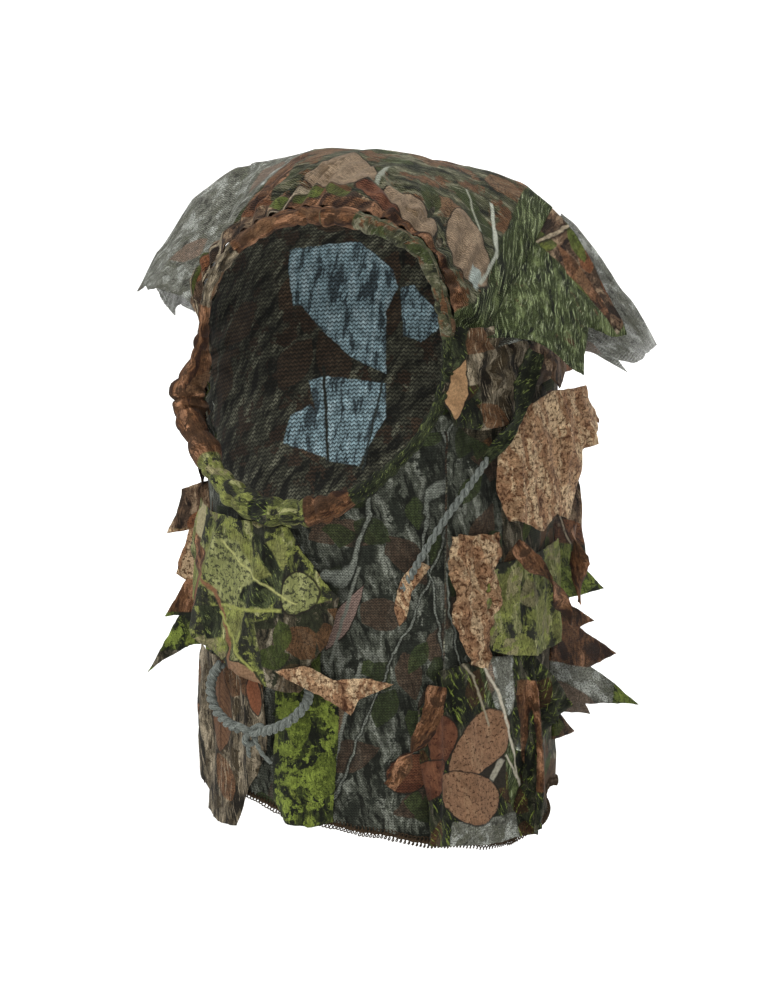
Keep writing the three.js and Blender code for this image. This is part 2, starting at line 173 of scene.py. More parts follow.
class Tree:
    """Builds one material, node by node. Patterns are laid out in millimetres of cloth."""

    def __init__(self, name):
        self.material = bpy.data.materials.new(name)
        self.material.use_nodes = True
        self.tree = self.material.node_tree
        self.shader = self.tree.nodes["Principled BSDF"]
        self.cloth_value = None

    def node(self, kind, inputs=(), **settings):
        made = self.tree.nodes.new(kind)
        for key, value in settings.items():
            setattr(made, key, value)
        for key, value in dict(inputs).items():
            self.put(made.inputs[key], value)
        return made

    def put(self, socket, value):
        if isinstance(value, Value):
            self.tree.links.new(value.socket, socket)
        else:
            socket.default_value = value

    def math(self, operation, *values):
        made = self.node("ShaderNodeMath", enumerate(values), operation=operation)
        return Value(self, made.outputs[0])

    def vector(self, operation, *values):
        made = self.node("ShaderNodeVectorMath", enumerate(values), operation=operation)
        return Value(self, made.outputs["Value" if operation == "DOT_PRODUCT" else "Vector"])

    def split(self, value):
        made = self.node("ShaderNodeSeparateXYZ", {0: value})
        return [Value(self, made.outputs[i]) for i in range(3)]

    def mix(self, factor, a, b, blend="MIX"):
        inputs = {"Factor": factor, "A": a, "B": b}
        made = self.node("ShaderNodeMix", inputs, data_type="RGBA", blend_type=blend)
        return Value(self, made.outputs["Result"])

    def position(self):
        made = self.node("ShaderNodeNewGeometry")
        return Value(self, made.outputs["Position"])

    def cloth(self):
        """Where the point lies on the cloth, in millimetres."""
        if self.cloth_value is None:
            made = self.node("ShaderNodeAttribute", attribute_name="cloth")
            self.cloth_value = self.vector("MULTIPLY", Value(self, made.outputs["Vector"]), (1000,) * 3)
        return self.cloth_value

    def stretched(self, at, across, down, turn=0):
        """Coordinates in cells of the given size, turned by an angle in degrees."""
        return self.placed(at, (0, 0), (across, down), turn)

    def placed(self, at, place, size, turn):
        """Coordinates about a place, in units of a size, turned by an angle in degrees."""
        inputs = {"Vector": at, "Location": (*place, 0), "Rotation": (0, 0, math.radians(turn)),
                  "Scale": (*size, 1)}
        made = self.node("ShaderNodeMapping", inputs, vector_type="TEXTURE")
        return Value(self, made.outputs[0])

    def noise(self, at, scale=1.0, detail=2.0, roughness=0.5, color=False):
        inputs = {"Vector": at, "Scale": scale, "Detail": detail, "Roughness": roughness}
        made = self.node("ShaderNodeTexNoise", inputs)
        return Value(self, made.outputs["Color" if color else "Fac"])

    def step(self, value, edge, soft=0.02):
        """0 below the edge and 1 above it."""
        inputs = {"Value": value, "From Min": edge - soft, "From Max": edge + soft}
        made = self.node("ShaderNodeMapRange", inputs, clamp=True)
        return Value(self, made.outputs["Result"])

    def warped(self, at, size, amount):
        """The coordinates pushed about by a soft noise, so that printed edges wander."""
        push = self.vector("SUBTRACT", self.noise(at, 1 / size, 2, color=True), (0.5, 0.5, 0.5))
        return self.vector("ADD", at, self.vector("MULTIPLY", push, (amount, amount, 0)))

    def finish(self, color, bump=None, strength=0.4, depth=0.4, alpha=None):
        """A matte cloth of the colour; bump is a height, and depth is its scale in millimetres."""
        inputs = {"Base Color": color, "Roughness": 0.9, "Sheen Weight": 0.02, "Sheen Roughness": 0.6,
                  "Specular IOR Level": 0.12}
        if bump is not None:
            made = self.node("ShaderNodeBump", {"Strength": strength, "Distance": depth * MM, "Height": bump})
            inputs["Normal"] = Value(self, made.outputs[0])
        if alpha is not None:
            inputs["Alpha"] = alpha
        for name, value in inputs.items():
            self.put(self.shader.inputs[name], value)
        return self.material


def leaf_mask(t, local):
    """Inside a pointed leaf of half length 1 and half width 1, and its ribs."""
    x, y, _ = t.split(local)
    side = abs(y)
    width = (1 - x * x) * (1.05 - 0.35 * x)
    mask = t.step(width - side, 0.0, 0.03) * (1 - t.step(abs(x), 1.0, 0.02))
    ribs = t.math("FRACT", (x + side * 0.45) * 6)
    rib = t.step(abs(ribs - 0.5), 0.42, 0.05)
    spine = 1 - t.step(side, 0.05, 0.03)
    return mask, t.math("MAXIMUM", rib, spine)


def lobe_mask(t, local):
    """Inside an egg shape of half length 1 and half width 1, blunt at +x, and its spine."""
    x, y, _ = t.split(local)
    across = t.math("DIVIDE", y, x * 0.3 + 1)
    level = 1 - x * x - across * across
    return t.step(level, 0.0, 0.04), 1 - t.step(abs(y), 0.04, 0.03)


def scattered_leaves(t, at, size, amount, offset):
    """Leaves of random size and heading, one in each cell of a random net."""
    moved = t.vector("ADD", at, (offset, offset * 0.7, 0))
    inputs = {"Vector": t.vector("MULTIPLY", moved, (1 / size, 1 / size, 0)), "Scale": 1}
    net = t.node("ShaderNodeTexVoronoi", inputs, voronoi_dimensions="2D", feature="F1")
    middle = t.vector("MULTIPLY", Value(t, net.outputs["Position"]), (size, size, 0))
    red, green, blue = t.split(Value(t, net.outputs["Color"]))
    inputs = {"Vector": t.vector("SUBTRACT", moved, middle), "Angle": red * WHOLE_TURN}
    turned = t.node("ShaderNodeVectorRotate", inputs, rotation_type="Z_AXIS")
    x, y, _ = t.split(Value(t, turned.outputs[0]))
    length = green * (size * 0.3) + size * 0.42
    inputs = {0: t.math("DIVIDE", x, length), 1: t.math("DIVIDE", y, length * 0.5)}
    made = t.node("ShaderNodeCombineXYZ", inputs)
    mask, ribs = leaf_mask(t, Value(t, made.outputs[0]))
    return mask * (1 - t.step(blue, amount, 0.01)), ribs, green


def twig_lines(t, at, across, down, turn, width, offset):
    """Thin wandering lines: the contour of a stretched noise."""
    moved = t.vector("ADD", at, (offset, offset, 0))
    level = t.noise(t.stretched(moved, across, down, turn), 1, 1.5)
    return abs(level - 0.5), 1 - t.step(abs(level - 0.5), width, width * 0.3)


def shaded(tint, share):
    return tuple(c * share for c in tint[:3]) + (1,)


def toned(t, color, share, pattern, low, high):
    """The colour times a grey that runs from low to high with the pattern."""
    grey = t.mix(pattern, (low, low, low, 1), (high, high, high, 1))
    return t.mix(share, color, grey, "MULTIPLY")


def printed(t, style):
    """The camouflage print: bark, blots, scattered leaves, moss, twigs, strokes, grain and specks."""
    offset = style.get("offset", 0.0)
    at = t.vector("ADD", t.cloth(), (offset * 37.0, offset * 23.0, 0))
    loose = t.warped(at, 14, 9)
    turn = style.get("turn", 8)
    bark = t.noise(t.stretched(loose, *style.get("fibre", (7, 30)), turn), 1, 6, 0.66)
    color = t.mix(t.step(bark, style.get("dark_share", 0.46), 0.025), style["dark"], style["mid"])
    color = t.mix(t.step(bark, style.get("mid_share", 0.56), 0.025), color, style["light"])
    blots = t.noise(loose, 1 / 20, 6, 0.68)
    color = t.mix(t.step(blots, style.get("blot_share", 0.55), 0.015), color, style["blot"])
    for size, share, tint, shift in style.get("leaves", []):
        mask, ribs, tone = scattered_leaves(t, t.warped(at, 6, 2.5), size, share, shift)
        filled = t.mix(tone, tint, shaded(tint, 0.55))
        filled = t.mix(ribs * 0.55, filled, shaded(tint, 0.25))
        color = t.mix(mask * 0.9, color, filled)
    if "moss" in style:
        tint, share = style["moss"]
        clumps = t.noise(t.warped(at, 5, 4), 1 / 13, 7, 0.74)
        color = t.mix(t.step(clumps, share, 0.012), color, tint)
    for across, down, slant, width, shift in style.get("twigs", []):
        level, line = twig_lines(t, loose, across, down, slant, width, shift)
        color = t.mix((1 - t.step(level, width * 2.6, width)) * 0.8, color, style["dark"])
        color = t.mix(line * 0.85, color, style["stick"])
    for across, down, slant, share, tint in style.get("strokes", []):
        strokes = t.noise(t.stretched(t.warped(at, 18, 7), across, down, slant), 1, 4, 0.65)
        color = t.mix(t.step(strokes, share, 0.02) * 0.85, color, tint)
    streaks = t.noise(t.stretched(t.warped(at, 9, 5), 1.0, style.get("streak", 6), turn), 1, 4, 0.72)
    tones = t.noise(at, 1 / 6, 6, 0.72)
    depth = style.get("depth", 0.9)
    color = toned(t, color, depth, t.step(streaks, 0.5, 0.16), 0.38, 1.32)
    color = toned(t, color, depth, t.step(tones, 0.5, 0.14), 0.5, 1.25)
    specks = t.noise(at, style.get("speck_size", 0.9), 4, 0.7)
    specked = 1 - t.step(specks, style.get("speck_share", 0.42), 0.02)
    return t.mix(specked * 0.85, color, style["dark"])


def zone_mask(t, at, corners, soft=0.5):
    """Inside a convex patch, in millimetres."""
    if sum(a[0] * b[1] - a[1] * b[0] for a, b in zip(corners, corners[1:] + corners[:1])) < 0:
        corners = corners[::-1]
    reach = None
    for (x0, y0), (x1, y1) in zip(corners, corners[1:] + corners[:1]):
        size = math.hypot(x1 - x0, y1 - y0)
        normal = ((y0 - y1) / size, (x1 - x0) / size, 0)
        level = t.vector("DOT_PRODUCT", at, normal) - (x0 * normal[0] + y0 * normal[1])
        reach = level if reach is None else t.math("MINIMUM", reach, level)
    return t.step(reach, 0, soft)


def marked(t, color, marks):
    """Draws single shapes over the print. Each is filled with a tint or another print."""
    at = t.warped(t.cloth(), 7, 2.6)
    for kind, shape, fill, ribbed in marks:
        if kind == "zone":
            mask, ribs = zone_mask(t, at, shape), 0.0
        else:
            place, size, turn = shape
            outline = leaf_mask if kind == "leaf" else lobe_mask
            rim_size = [half + MARK_RIM for half in size]
            dark, _ = outline(t, t.placed(at, place, rim_size, turn))
            color = t.mix(dark * 0.8, color, rgb("1c1813"))
            mask, ribs = outline(t, t.placed(at, place, size, turn))
        if isinstance(fill, dict):
            filled = printed(t, fill)
        else:
            filled = t.mix(ribs * ribbed, fill, shaded(fill, 0.4))
            grain = t.step(t.noise(t.cloth(), 0.55, 5, 0.75), 0.5, 0.16)
            filled = toned(t, filled, 0.9, grain, 0.5, 1.2)
        color = t.mix(mask, color, filled)
    return color


def knit(t, pitch=1.3):
    """Zigzag rows of a warp knit: 1 on the thread and 0 in the holes."""
    x, y, _ = t.split(t.cloth())
    sway = abs(t.math("FRACT", x * (1 / (pitch * 1.15))) - 0.5) * 2
    rows = t.math("SINE", (y + sway * (pitch * 0.5)) * (WHOLE_TURN / pitch))
    return rows * 0.5 + 0.5


def cloth_material(name, style, marks=(), pitch=1.1, hole_shade=0.0, see=0.0):
    """Printed cloth. The knit's gaps are darkened with painted shade, for the shaded inside seen through the
    mesh, and see is how open they are.
    """
    t = Tree(name)
    color = marked(t, printed(t, style), marks)
    threads = knit(t, pitch)
    if hole_shade:
        # painted shade: the gaps of the knit are coloured near black, for the dark seen through the mesh
        color = t.mix((1 - t.step(threads, 0.35, 0.25)) * hole_shade, color, rgb("0c0d0b"))
    fuzz = t.noise(t.cloth(), 2.2, 3)
    alpha = 1 - (1 - t.step(threads, 0.42, 0.3)) * see if see else None
    bump = threads * 0.7 + fuzz * 0.6
    return t.finish(color, bump, strength=0.45, depth=0.5, alpha=alpha)


# ---- Surfaces ----

def noise3(points, size, seed=0):
    """Smooth noise from -1 to 1 at each point, with cells of the given size."""
    cell = points / size + seed * 17.31
    low = np.floor(cell)
    part = cell - low
    part = part * part * (3 - 2 * part)
    low = low.astype(np.int64)
    total = np.zeros(len(points))
    for corner in np.ndindex(2, 2, 2):
        x, y, z = (low + corner).T
        code = (x * 73856093) ^ (y * 19349663) ^ (z * 83492791) ^ (seed * 2654435761)
        code = ((code ^ (code >> 13)) * 1274126177) & 0xFFFFFFFF
        height = ((code >> 8) & 0xFFFF) / 32767.5 - 1
        share = np.ones(len(points))
        for axis in range(3):
            share *= part[:, axis] if corner[axis] else 1 - part[:, axis]
        total += height * share
    return total


def crumple(points, size, seed=0):
    """Sharp-edged creases: folded noise of two sizes."""
    return (1 - 2 * np.abs(noise3(points, size, seed))) * 0.65 + noise3(points, size * 0.45, seed + 1) * 0.35


def smooth(x):
    x = np.clip(x, 0, 1)
    return x * x * (3 - 2 * x)


def dome_lift(z):
    return np.where(z > -DOME_HEIGHT, 1 + z / DOME_HEIGHT, 0.0)


def dome_spread(z):
    return np.sqrt(np.maximum(1 - dome_lift(z) ** 2, 1e-9))


def hood_point(turn, z, stand=0.0):
    turn, z, stand = np.broadcast_arrays(turn, z, stand)
    spread = dome_spread(z)
    return np.stack([
        (HALF_WIDTH + stand) * spread * np.sin(turn),
        -(HALF_DEPTH + stand) * spread * np.cos(turn),
        z + stand * dome_lift(z),
    ], -1)


def hem_height(turn):
    """The hem dips at the back and the right and is cut higher at the left."""
    front = np.maximum(0, np.cos(turn)) ** 2
    stations = [-180, -150, -120, -100, -80, -60, -40, -25, -10, 0, 20, 50, 80, 95, 112, 135, 180]
    lift = [0, 0, 12, 24, 28, 28, 24, 18, 7, 3, 0, 3, 5, 15, 24, 14, 0]
    lift = np.interp((np.degrees(turn) + 180) % 360 - 180, stations, lift) * MM
    return lift - (SIDE_HEM + (FRONT_HEM - SIDE_HEM) * front)


def opening_point(turn, grow=0.0, stand=0.0):
    x = (OPENING_HALF_WIDTH + grow) * np.sin(turn)
    z = OPENING_Z + (OPENING_HALF_HEIGHT + grow) * np.cos(turn)
    return hood_point(np.arcsin(np.clip(x / (HALF_WIDTH * dome_spread(z)), -1, 1)), z, stand)


def rim_grow(turn):
    """How far the finished rim lies outside the plain oval, at each angle round it."""
    stations = [0, 20, 45, 70, 90, 115, 135, 155, 180, 200, 225, 245, 262, 275, 300, 330, 360]
    growth = [-5, -3, 2, -3, -6, -7, -7, -4, 0, 4, 9, 10, 4, 1, 0, -3, -5]
    return np.interp(np.degrees(turn) % 360, stations, growth) * MM


def rim_stand(turn):
    """The casing stands out in puffs at the lower left."""
    stations = [0, 165, 190, 222, 234, 242, 252, 262, 276, 360]
    return np.interp(np.degrees(turn) % 360, stations, [2, 2, 5, 5, 7, 11, 11, 4, 1.5, 2]) * MM


def opening_reach(x, z):
    """1 on the opening's centre line, less inside it."""
    return np.hypot(x / OPENING_HALF_WIDTH, (z - OPENING_Z) / OPENING_HALF_HEIGHT)


def hood_relief(turn, z):
    """How far the hood's cloth stands off its plain shape: gathers, drape and creases."""
    flat = np.stack([turn * LEAF_RADIUS, z, np.zeros_like(z)], -1)
    drape = noise3(flat / [1, 4, 1], 0.026, 3) * smooth((-0.12 - z) / 0.22) * 0.0040
    creases = crumple(flat, 0.034, 5) * 0.0019 + noise3(flat, 0.012, 7) * 0.0007
    bare = hood_point(turn, z)
    front = np.cos(turn) > 0
    reach = np.where(front, opening_reach(bare[:, 0], z), 3.0)
    round_rim = np.arctan2(bare[:, 0], z - OPENING_Z)
    fade = np.exp(-np.maximum(reach - 1, 0) * OPENING_HALF_WIDTH / 0.022)
    gathers = np.sin(round_rim * 34 + 4 * noise3(bare, 0.03, 9)) * 0.0022 * fade
    beside = np.exp(-((turn - 1.05) / 0.28) ** 2 - ((z + 0.14) / 0.06) ** 2)
    bunched = crumple(flat * [1, 0.7, 1], 0.017, 11) * 0.0042 * beside
    relief = np.clip(drape + creases + gathers + bunched - 0.0008, -0.0055, 0.0030)
    return relief * (0.3 + 0.7 * smooth((-0.02 - z) / 0.04)) * smooth((math.pi - np.abs(turn)) / 0.22)


def resampled(outline, step):
    """The closed outline with points about a step apart, its corners kept."""
    points = []
    for start, end in zip(outline, outline[1:] + outline[:1]):
        start, end = np.array(start, float), np.array(end, float)
        count = max(1, round(float(np.linalg.norm(end - start)) / step))
        points += [start + (end - start) * i / count for i in range(count)]
    return np.array(points)


def inside(points, outline):
    x, y = points.T
    found = np.zeros(len(points), bool)
    for (x0, y0), (x1, y1) in zip(outline, np.roll(outline, -1, 0)):
        crosses = (y0 > y) != (y1 > y)
        found ^= crosses & (x < (x1 - x0) * (y - y0) / (y1 - y0 + 1e-12) + x0)
    return found


def cut_cloth(outline, step, ragged=0.0006):
    """Points and triangles that fill an outline drawn on flat cloth, in metres."""
    edge = resampled([tuple(p) for p in outline], step)
    if ragged:
        flat = np.column_stack([edge, np.zeros(len(edge))])
        edge = edge + np.column_stack([noise3(flat, 0.003, 31), noise3(flat, 0.003, 32)]) * ragged
    low, high = edge.min(0), edge.max(0)
    rows = np.arange(low[1], high[1], step * 0.87)
    grid = np.array([
        (x, y) for i, y in enumerate(rows) for x in np.arange(low[0] + (i % 2) * step / 2, high[0], step)
    ])
    grid = grid[inside(grid, edge)]
    keep = np.ones(len(grid), bool)
    for start, end in zip(edge, np.roll(edge, -1, 0)):
        along = end - start
        t = np.clip(((grid - start) @ along) / max(along @ along, 1e-12), 0, 1)
        keep &= np.linalg.norm(grid - start - t[:, None] * along, axis=1) > step * 0.55
    points = np.concatenate([edge, grid[keep]])
    ring = [list(range(len(edge)))]
    made = delaunay_2d_cdt([Vector(p) for p in points], [], ring, 1, 1e-7)
    return np.array([tuple(p) for p in made[0]]), [tuple(f) for f in made[2]]


def unit(rows):
    """Each row made one long."""
    return rows / np.maximum(np.linalg.norm(rows, axis=1), 1e-12)[:, None]


def along_line(points):
    """How far along a line each of its points lies."""
    return np.concatenate([[0], np.cumsum(np.linalg.norm(np.diff(points, axis=0), axis=1))])


def on_hood(route):
    """Points of a route of (degrees, millimetres of height, millimetres off the wall)."""
    angle, z, stand = np.array(route, float).T
    return hood_point(np.radians(angle), z * MM, stand * MM)


def line_frame(line):
    """Unit vectors across a line that lies on the hood, and outwards from it."""
    ahead = unit(np.gradient(line, axis=0))
    side = unit(np.cross(line * [1, 1, 0], ahead))
    return side, np.cross(ahead, side)


def cloth_outline(points):
    """An outline of (degrees, millimetres of height) in metres of flat cloth."""
    return [(math.radians(a) * LEAF_RADIUS, z * MM) for a, z in points]


def net(x_range, y_range, across, down):
    """The coordinates of a flat grid, row by row."""
    x, y = np.meshgrid(np.linspace(*x_range, across + 1), np.linspace(*y_range, down + 1))
    return x.ravel(), y.ravel()


def vertex_normals(points, faces):
    """Normals of a mesh of triangles, or of quads, larger faces counting for more."""
    normals = np.zeros_like(points)
    corners = points[faces]
    flat = np.cross(corners[:, 1] - corners[:, 0], corners[:, 2] - corners[:, 0])
    if faces.shape[1] == 4:
        flat += np.cross(corners[:, 2] - corners[:, 0], corners[:, 3] - corners[:, 0])
    for i in range(faces.shape[1]):
        np.add.at(normals, faces[:, i], flat)
    return unit(normals)


def mesh_object(name, points, faces, materials, kinds=None, cloth=None, flat_faces=None):
    mesh = bpy.data.meshes.new(name)
    mesh.from_pydata(points.tolist(), [], [list(map(int, f)) for f in faces])
    rounded = np.ones(len(faces), bool)
    if flat_faces is not None:
        rounded[flat_faces] = False
    mesh.polygons.foreach_set("use_smooth", rounded)
    for material in materials:
        mesh.materials.append(material)
    if kinds is not None:
        mesh.polygons.foreach_set("material_index", np.array(kinds, np.int32))
    if cloth is not None:
        values = np.zeros((len(points), 3), np.float32)
        values[:, :cloth.shape[1]] = cloth
        mesh.attributes.new("cloth", "FLOAT_VECTOR", "POINT").data.foreach_set("vector", values.ravel())
    mesh.update()
    made = bpy.data.objects.new(name, mesh)
    bpy.context.scene.collection.objects.link(made)
    return made


def two_sided(name, middle, faces, cloth, face_material, back_material=None, outward=None):
    """A closed sheet of cloth with a face side, a back side and a cut edge."""
    faces = np.array(faces)
    normals = vertex_normals(middle, faces)
    if outward is not None and np.sum(normals * outward) < 0:
        faces = faces[:, ::-1]
        normals = -normals
    count = len(middle)
    points = np.concatenate([middle + normals * THICK / 2, middle - normals * THICK / 2])
    after = np.roll(faces, -1, 1)
    sides = np.concatenate([np.stack([faces[:, i], after[:, i]], -1) for i in range(faces.shape[1])])
    _, first, times = np.unique(np.sort(sides, 1), axis=0, return_index=True, return_counts=True)
    rim = sides[first[times == 1]]
    walls = [(b, a, a + count, b + count) for a, b in rim]
    all_faces = faces.tolist() + (faces[:, ::-1] + count).tolist() + walls
    kinds = [0] * len(faces) + [1] * len(faces) + [0] * len(walls)
    return mesh_object(
        name, points, all_faces, [face_material, back_material or face_material], kinds,
        np.concatenate([cloth, cloth]), slice(2 * len(faces), None),
    )


def dress(piece, node, body):
    """Puts a piece in the place of a CAD node, or of none, on a body that may be several."""
    if node:
        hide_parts(node)
    if body:
        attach(piece, body)


def declare_sheet(piece, cut, rests_on=()):
    """Works out a sheet's width and length from the corners of its cut, or takes them as given, and its own
    measured area held within its flat rectangle; nothing further is done with them.
    """
    cut = np.array(cut, float)
    width, length = (float(v) for v in (np.ptp(cut, 0) if cut.ndim > 1 else cut))
    area = sum(face.area for face in piece.data.polygons) / 2
    area = min(max(area, LEAST_SHARE * width * length), width * length)


def grid_faces(across, down):
    index = np.arange((across + 1) * (down + 1)).reshape(down + 1, across + 1)
    return np.stack([index[:-1, :-1], index[1:, :-1], index[1:, 1:], index[:-1, 1:]], -1).reshape(-1, 4)


# ---- Looks ----

def look(dark, mid, light, blot, stick, leaves=(), **more):
    tints = {"dark": rgb(dark), "mid": rgb(mid), "light": rgb(light), "blot": rgb(blot), "stick": rgb(stick)}
    scattered = [(size, share, rgb(tint), shift) for size, share, tint, shift in leaves]
    return {**tints, "leaves": scattered, **more}


BARK = look(
    "15150e", "453f31", "7b7362", "26281a", "6d6654", [(26, 0.5, "64482f", 11), (19, 0.4, "434e22", 57)],
    twigs=[(60, 420, 12, 0.004, 5)], offset=2,
)
TAN_BARK = look(
    "1c1811", "5d5444", "918570", "3b3223", "6d6654", [(30, 0.4, "6b4c33", 23)],
    strokes=[(1.0, 26, 8, 0.6, rgb("a0937c"))], offset=12,
)
BRIM_GREY = look(
    "3a3a33", "74756b", "a4a79f", "5f6053", "c0c4bb", [(40, 0.3, "86705f", 7)], speck_share=0.47,
    dark_share=0.42, mid_share=0.54, turn=35, offset=6, streak=1.2, fibre=(10, 14), speck_size=1.1,
)
CROWN = look(
    "1c1e14", "454631", "706d58", "5d412a", "a3a494", [(30, 0.4, "7a5c42", 3), (24, 0.4, "3c4524", 19)],
    strokes=[(0.9, 16, 74, 0.62, rgb("8a8974"))], turn=78, offset=4,
)
GRASS = look(
    "171b0f", "343c20", "5c6640", "4b3624", "868f6a", turn=-24, dark_share=0.44, mid_share=0.57,
    blot_share=0.62, strokes=[(1.1, 22, -26, 0.585, rgb("8f9a70")), (0.9, 16, -14, 0.62, rgb("a9b08d"))],
    offset=7,
)
LIME = look(
    "1b1c17", "555a30", "8b8b5e", "27281f", "74512f", [(34, 0.5, "7a7c46", 5), (22, 0.3, "8f8862", 31)],
    moss=(rgb("74793f"), 0.54), blot_share=0.52, offset=1.5, speck_size=0.5, speck_share=0.40,
)
MOSS = look(
    "13160d", "333a1b", "6b7433", "181b12", "84846c", [(30, 0.4, "5a6628", 9)],
    moss=(rgb("6d7a33"), 0.52), offset=8,
)
NECK = look(
    "1e201a", "505349", "7e8176", "2a2d26", "80847a", [(30, 0.35, "5a4a3c", 3), (22, 0.3, "434d2e", 39)],
    turn=14, twigs=[(90, 420, -16, 0.006, 3), (120, 500, 22, 0.004, 70)], offset=3,
)
DARK_PATCH = look(
    "0e100a", "2a2d1e", "4a473b", "161910", "8d8777", [(24, 0.35, "48331f", 15)],
    strokes=[(1.6, 12, 30, 0.60, rgb("7b8a3c")), (1.4, 9, -40, 0.63, rgb("6f7c38"))], offset=2.5,
)
DARK_GREEN = look(
    "11130c", "262b1b", "40462d", "161910", "5f6b36", strokes=[(1.2, 6, 40, 0.60, rgb("707b42"))],
    offset=9.5,
)
SPOTTED = look(
    "3a2213", "86654a", "b59c7b", "97785a", "bda988", speck_share=0.455, speck_size=0.42, dark_share=0.38,
    mid_share=0.51, streak=2, offset=3.5,
)
RUST = look(
    "2b1a10", "5d3f28", "8d674c", "45301f", "9c8163", [(26, 0.3, "72543a", 13)], speck_share=0.42,
    offset=1,
)
LEAF_BROWN = look(
    "1f160f", "5a4635", "8c775f", "3a2d22", "a3957d", [(26, 0.5, "75492d", 7), (22, 0.3, "566229", 77)],
    twigs=[(60, 300, 30, 0.006, 9)], offset=5.5,
)
INSIDE = look(
    "14140f", "3c3c31", "5f5f50", "33281e", "666658", [(34, 0.3, "47382a", 9)], turn=40, offset=5,
)
TAN_LOBE = look(
    "2f1d13", "7d5f48", "866950", "735640", "a48a70", depth=0.5, dark_share=0.25, blot_share=0.55,
    speck_share=0.43, speck_size=0.5, offset=4.4,
)
RED_LOBE = look(
    "25140d", "603d2b", "6b4632", "4d2e20", "8d6a52", depth=0.5, dark_share=0.3, blot_share=0.5,
    speck_share=0.40, speck_size=0.4, offset=6.3,
)
MESH_TAN = look(
    "3f3226", "7d6b57", "8c7963", "66543f", "b3a08a", depth=0.7, dark_share=0.3, blot_share=0.58,
    speck_share=0.40, speck_size=0.7, streak=1.5, offset=8.2,
)
SPOT_LIME = look(
    "20211b", "74774a", "858759", "5d6039", "a3a276", depth=0.6, dark_share=0.36, blot_share=0.58,
    speck_share=0.46, speck_size=0.34, offset=2.2,
)
KNIT_BLUE = look("3c484d", "788f96", "91a6ac", "6d838a", "91a6ac", speck_share=0.3, blot_share=0.62)


def patch(fill, *corners):
    """A mark with straight sides, convex, filled with a tint or another print."""
    return ("zone", list(corners), fill, 0)


def band(low, high, style, left=-60, right=140):
    """A patch right across a piece, between two heights or lengths in millimetres."""
    return patch(style, (left, low), (right, low), (right, high), (left, high))


def stick(start, end, width, tint):
    """A straight printed twig."""
    (x0, y0), (x1, y1) = start, end
    size = math.dist(start, end)
    x, y = (x1 - x0) / size * width / 2, (y1 - y0) / size * width / 2
    return patch(rgb(tint), (x0 - y, y0 + x), (x1 - y, y1 + x), (x1 + y, y1 - x), (x0 + y, y0 - x))


def lobe(fill, x, y, length, width, turn):
    """An egg-shaped mark, by its middle, half length, half width and heading."""
    return ("lobe", ((x, y), (length, width), turn), fill, 0)


def leaf(tint, x, y, length, width, turn, ribbed):
    """A pointed leaf with ribs of the given strength."""
    return ("leaf", ((x, y), (length, width), turn), rgb(tint), ribbed)


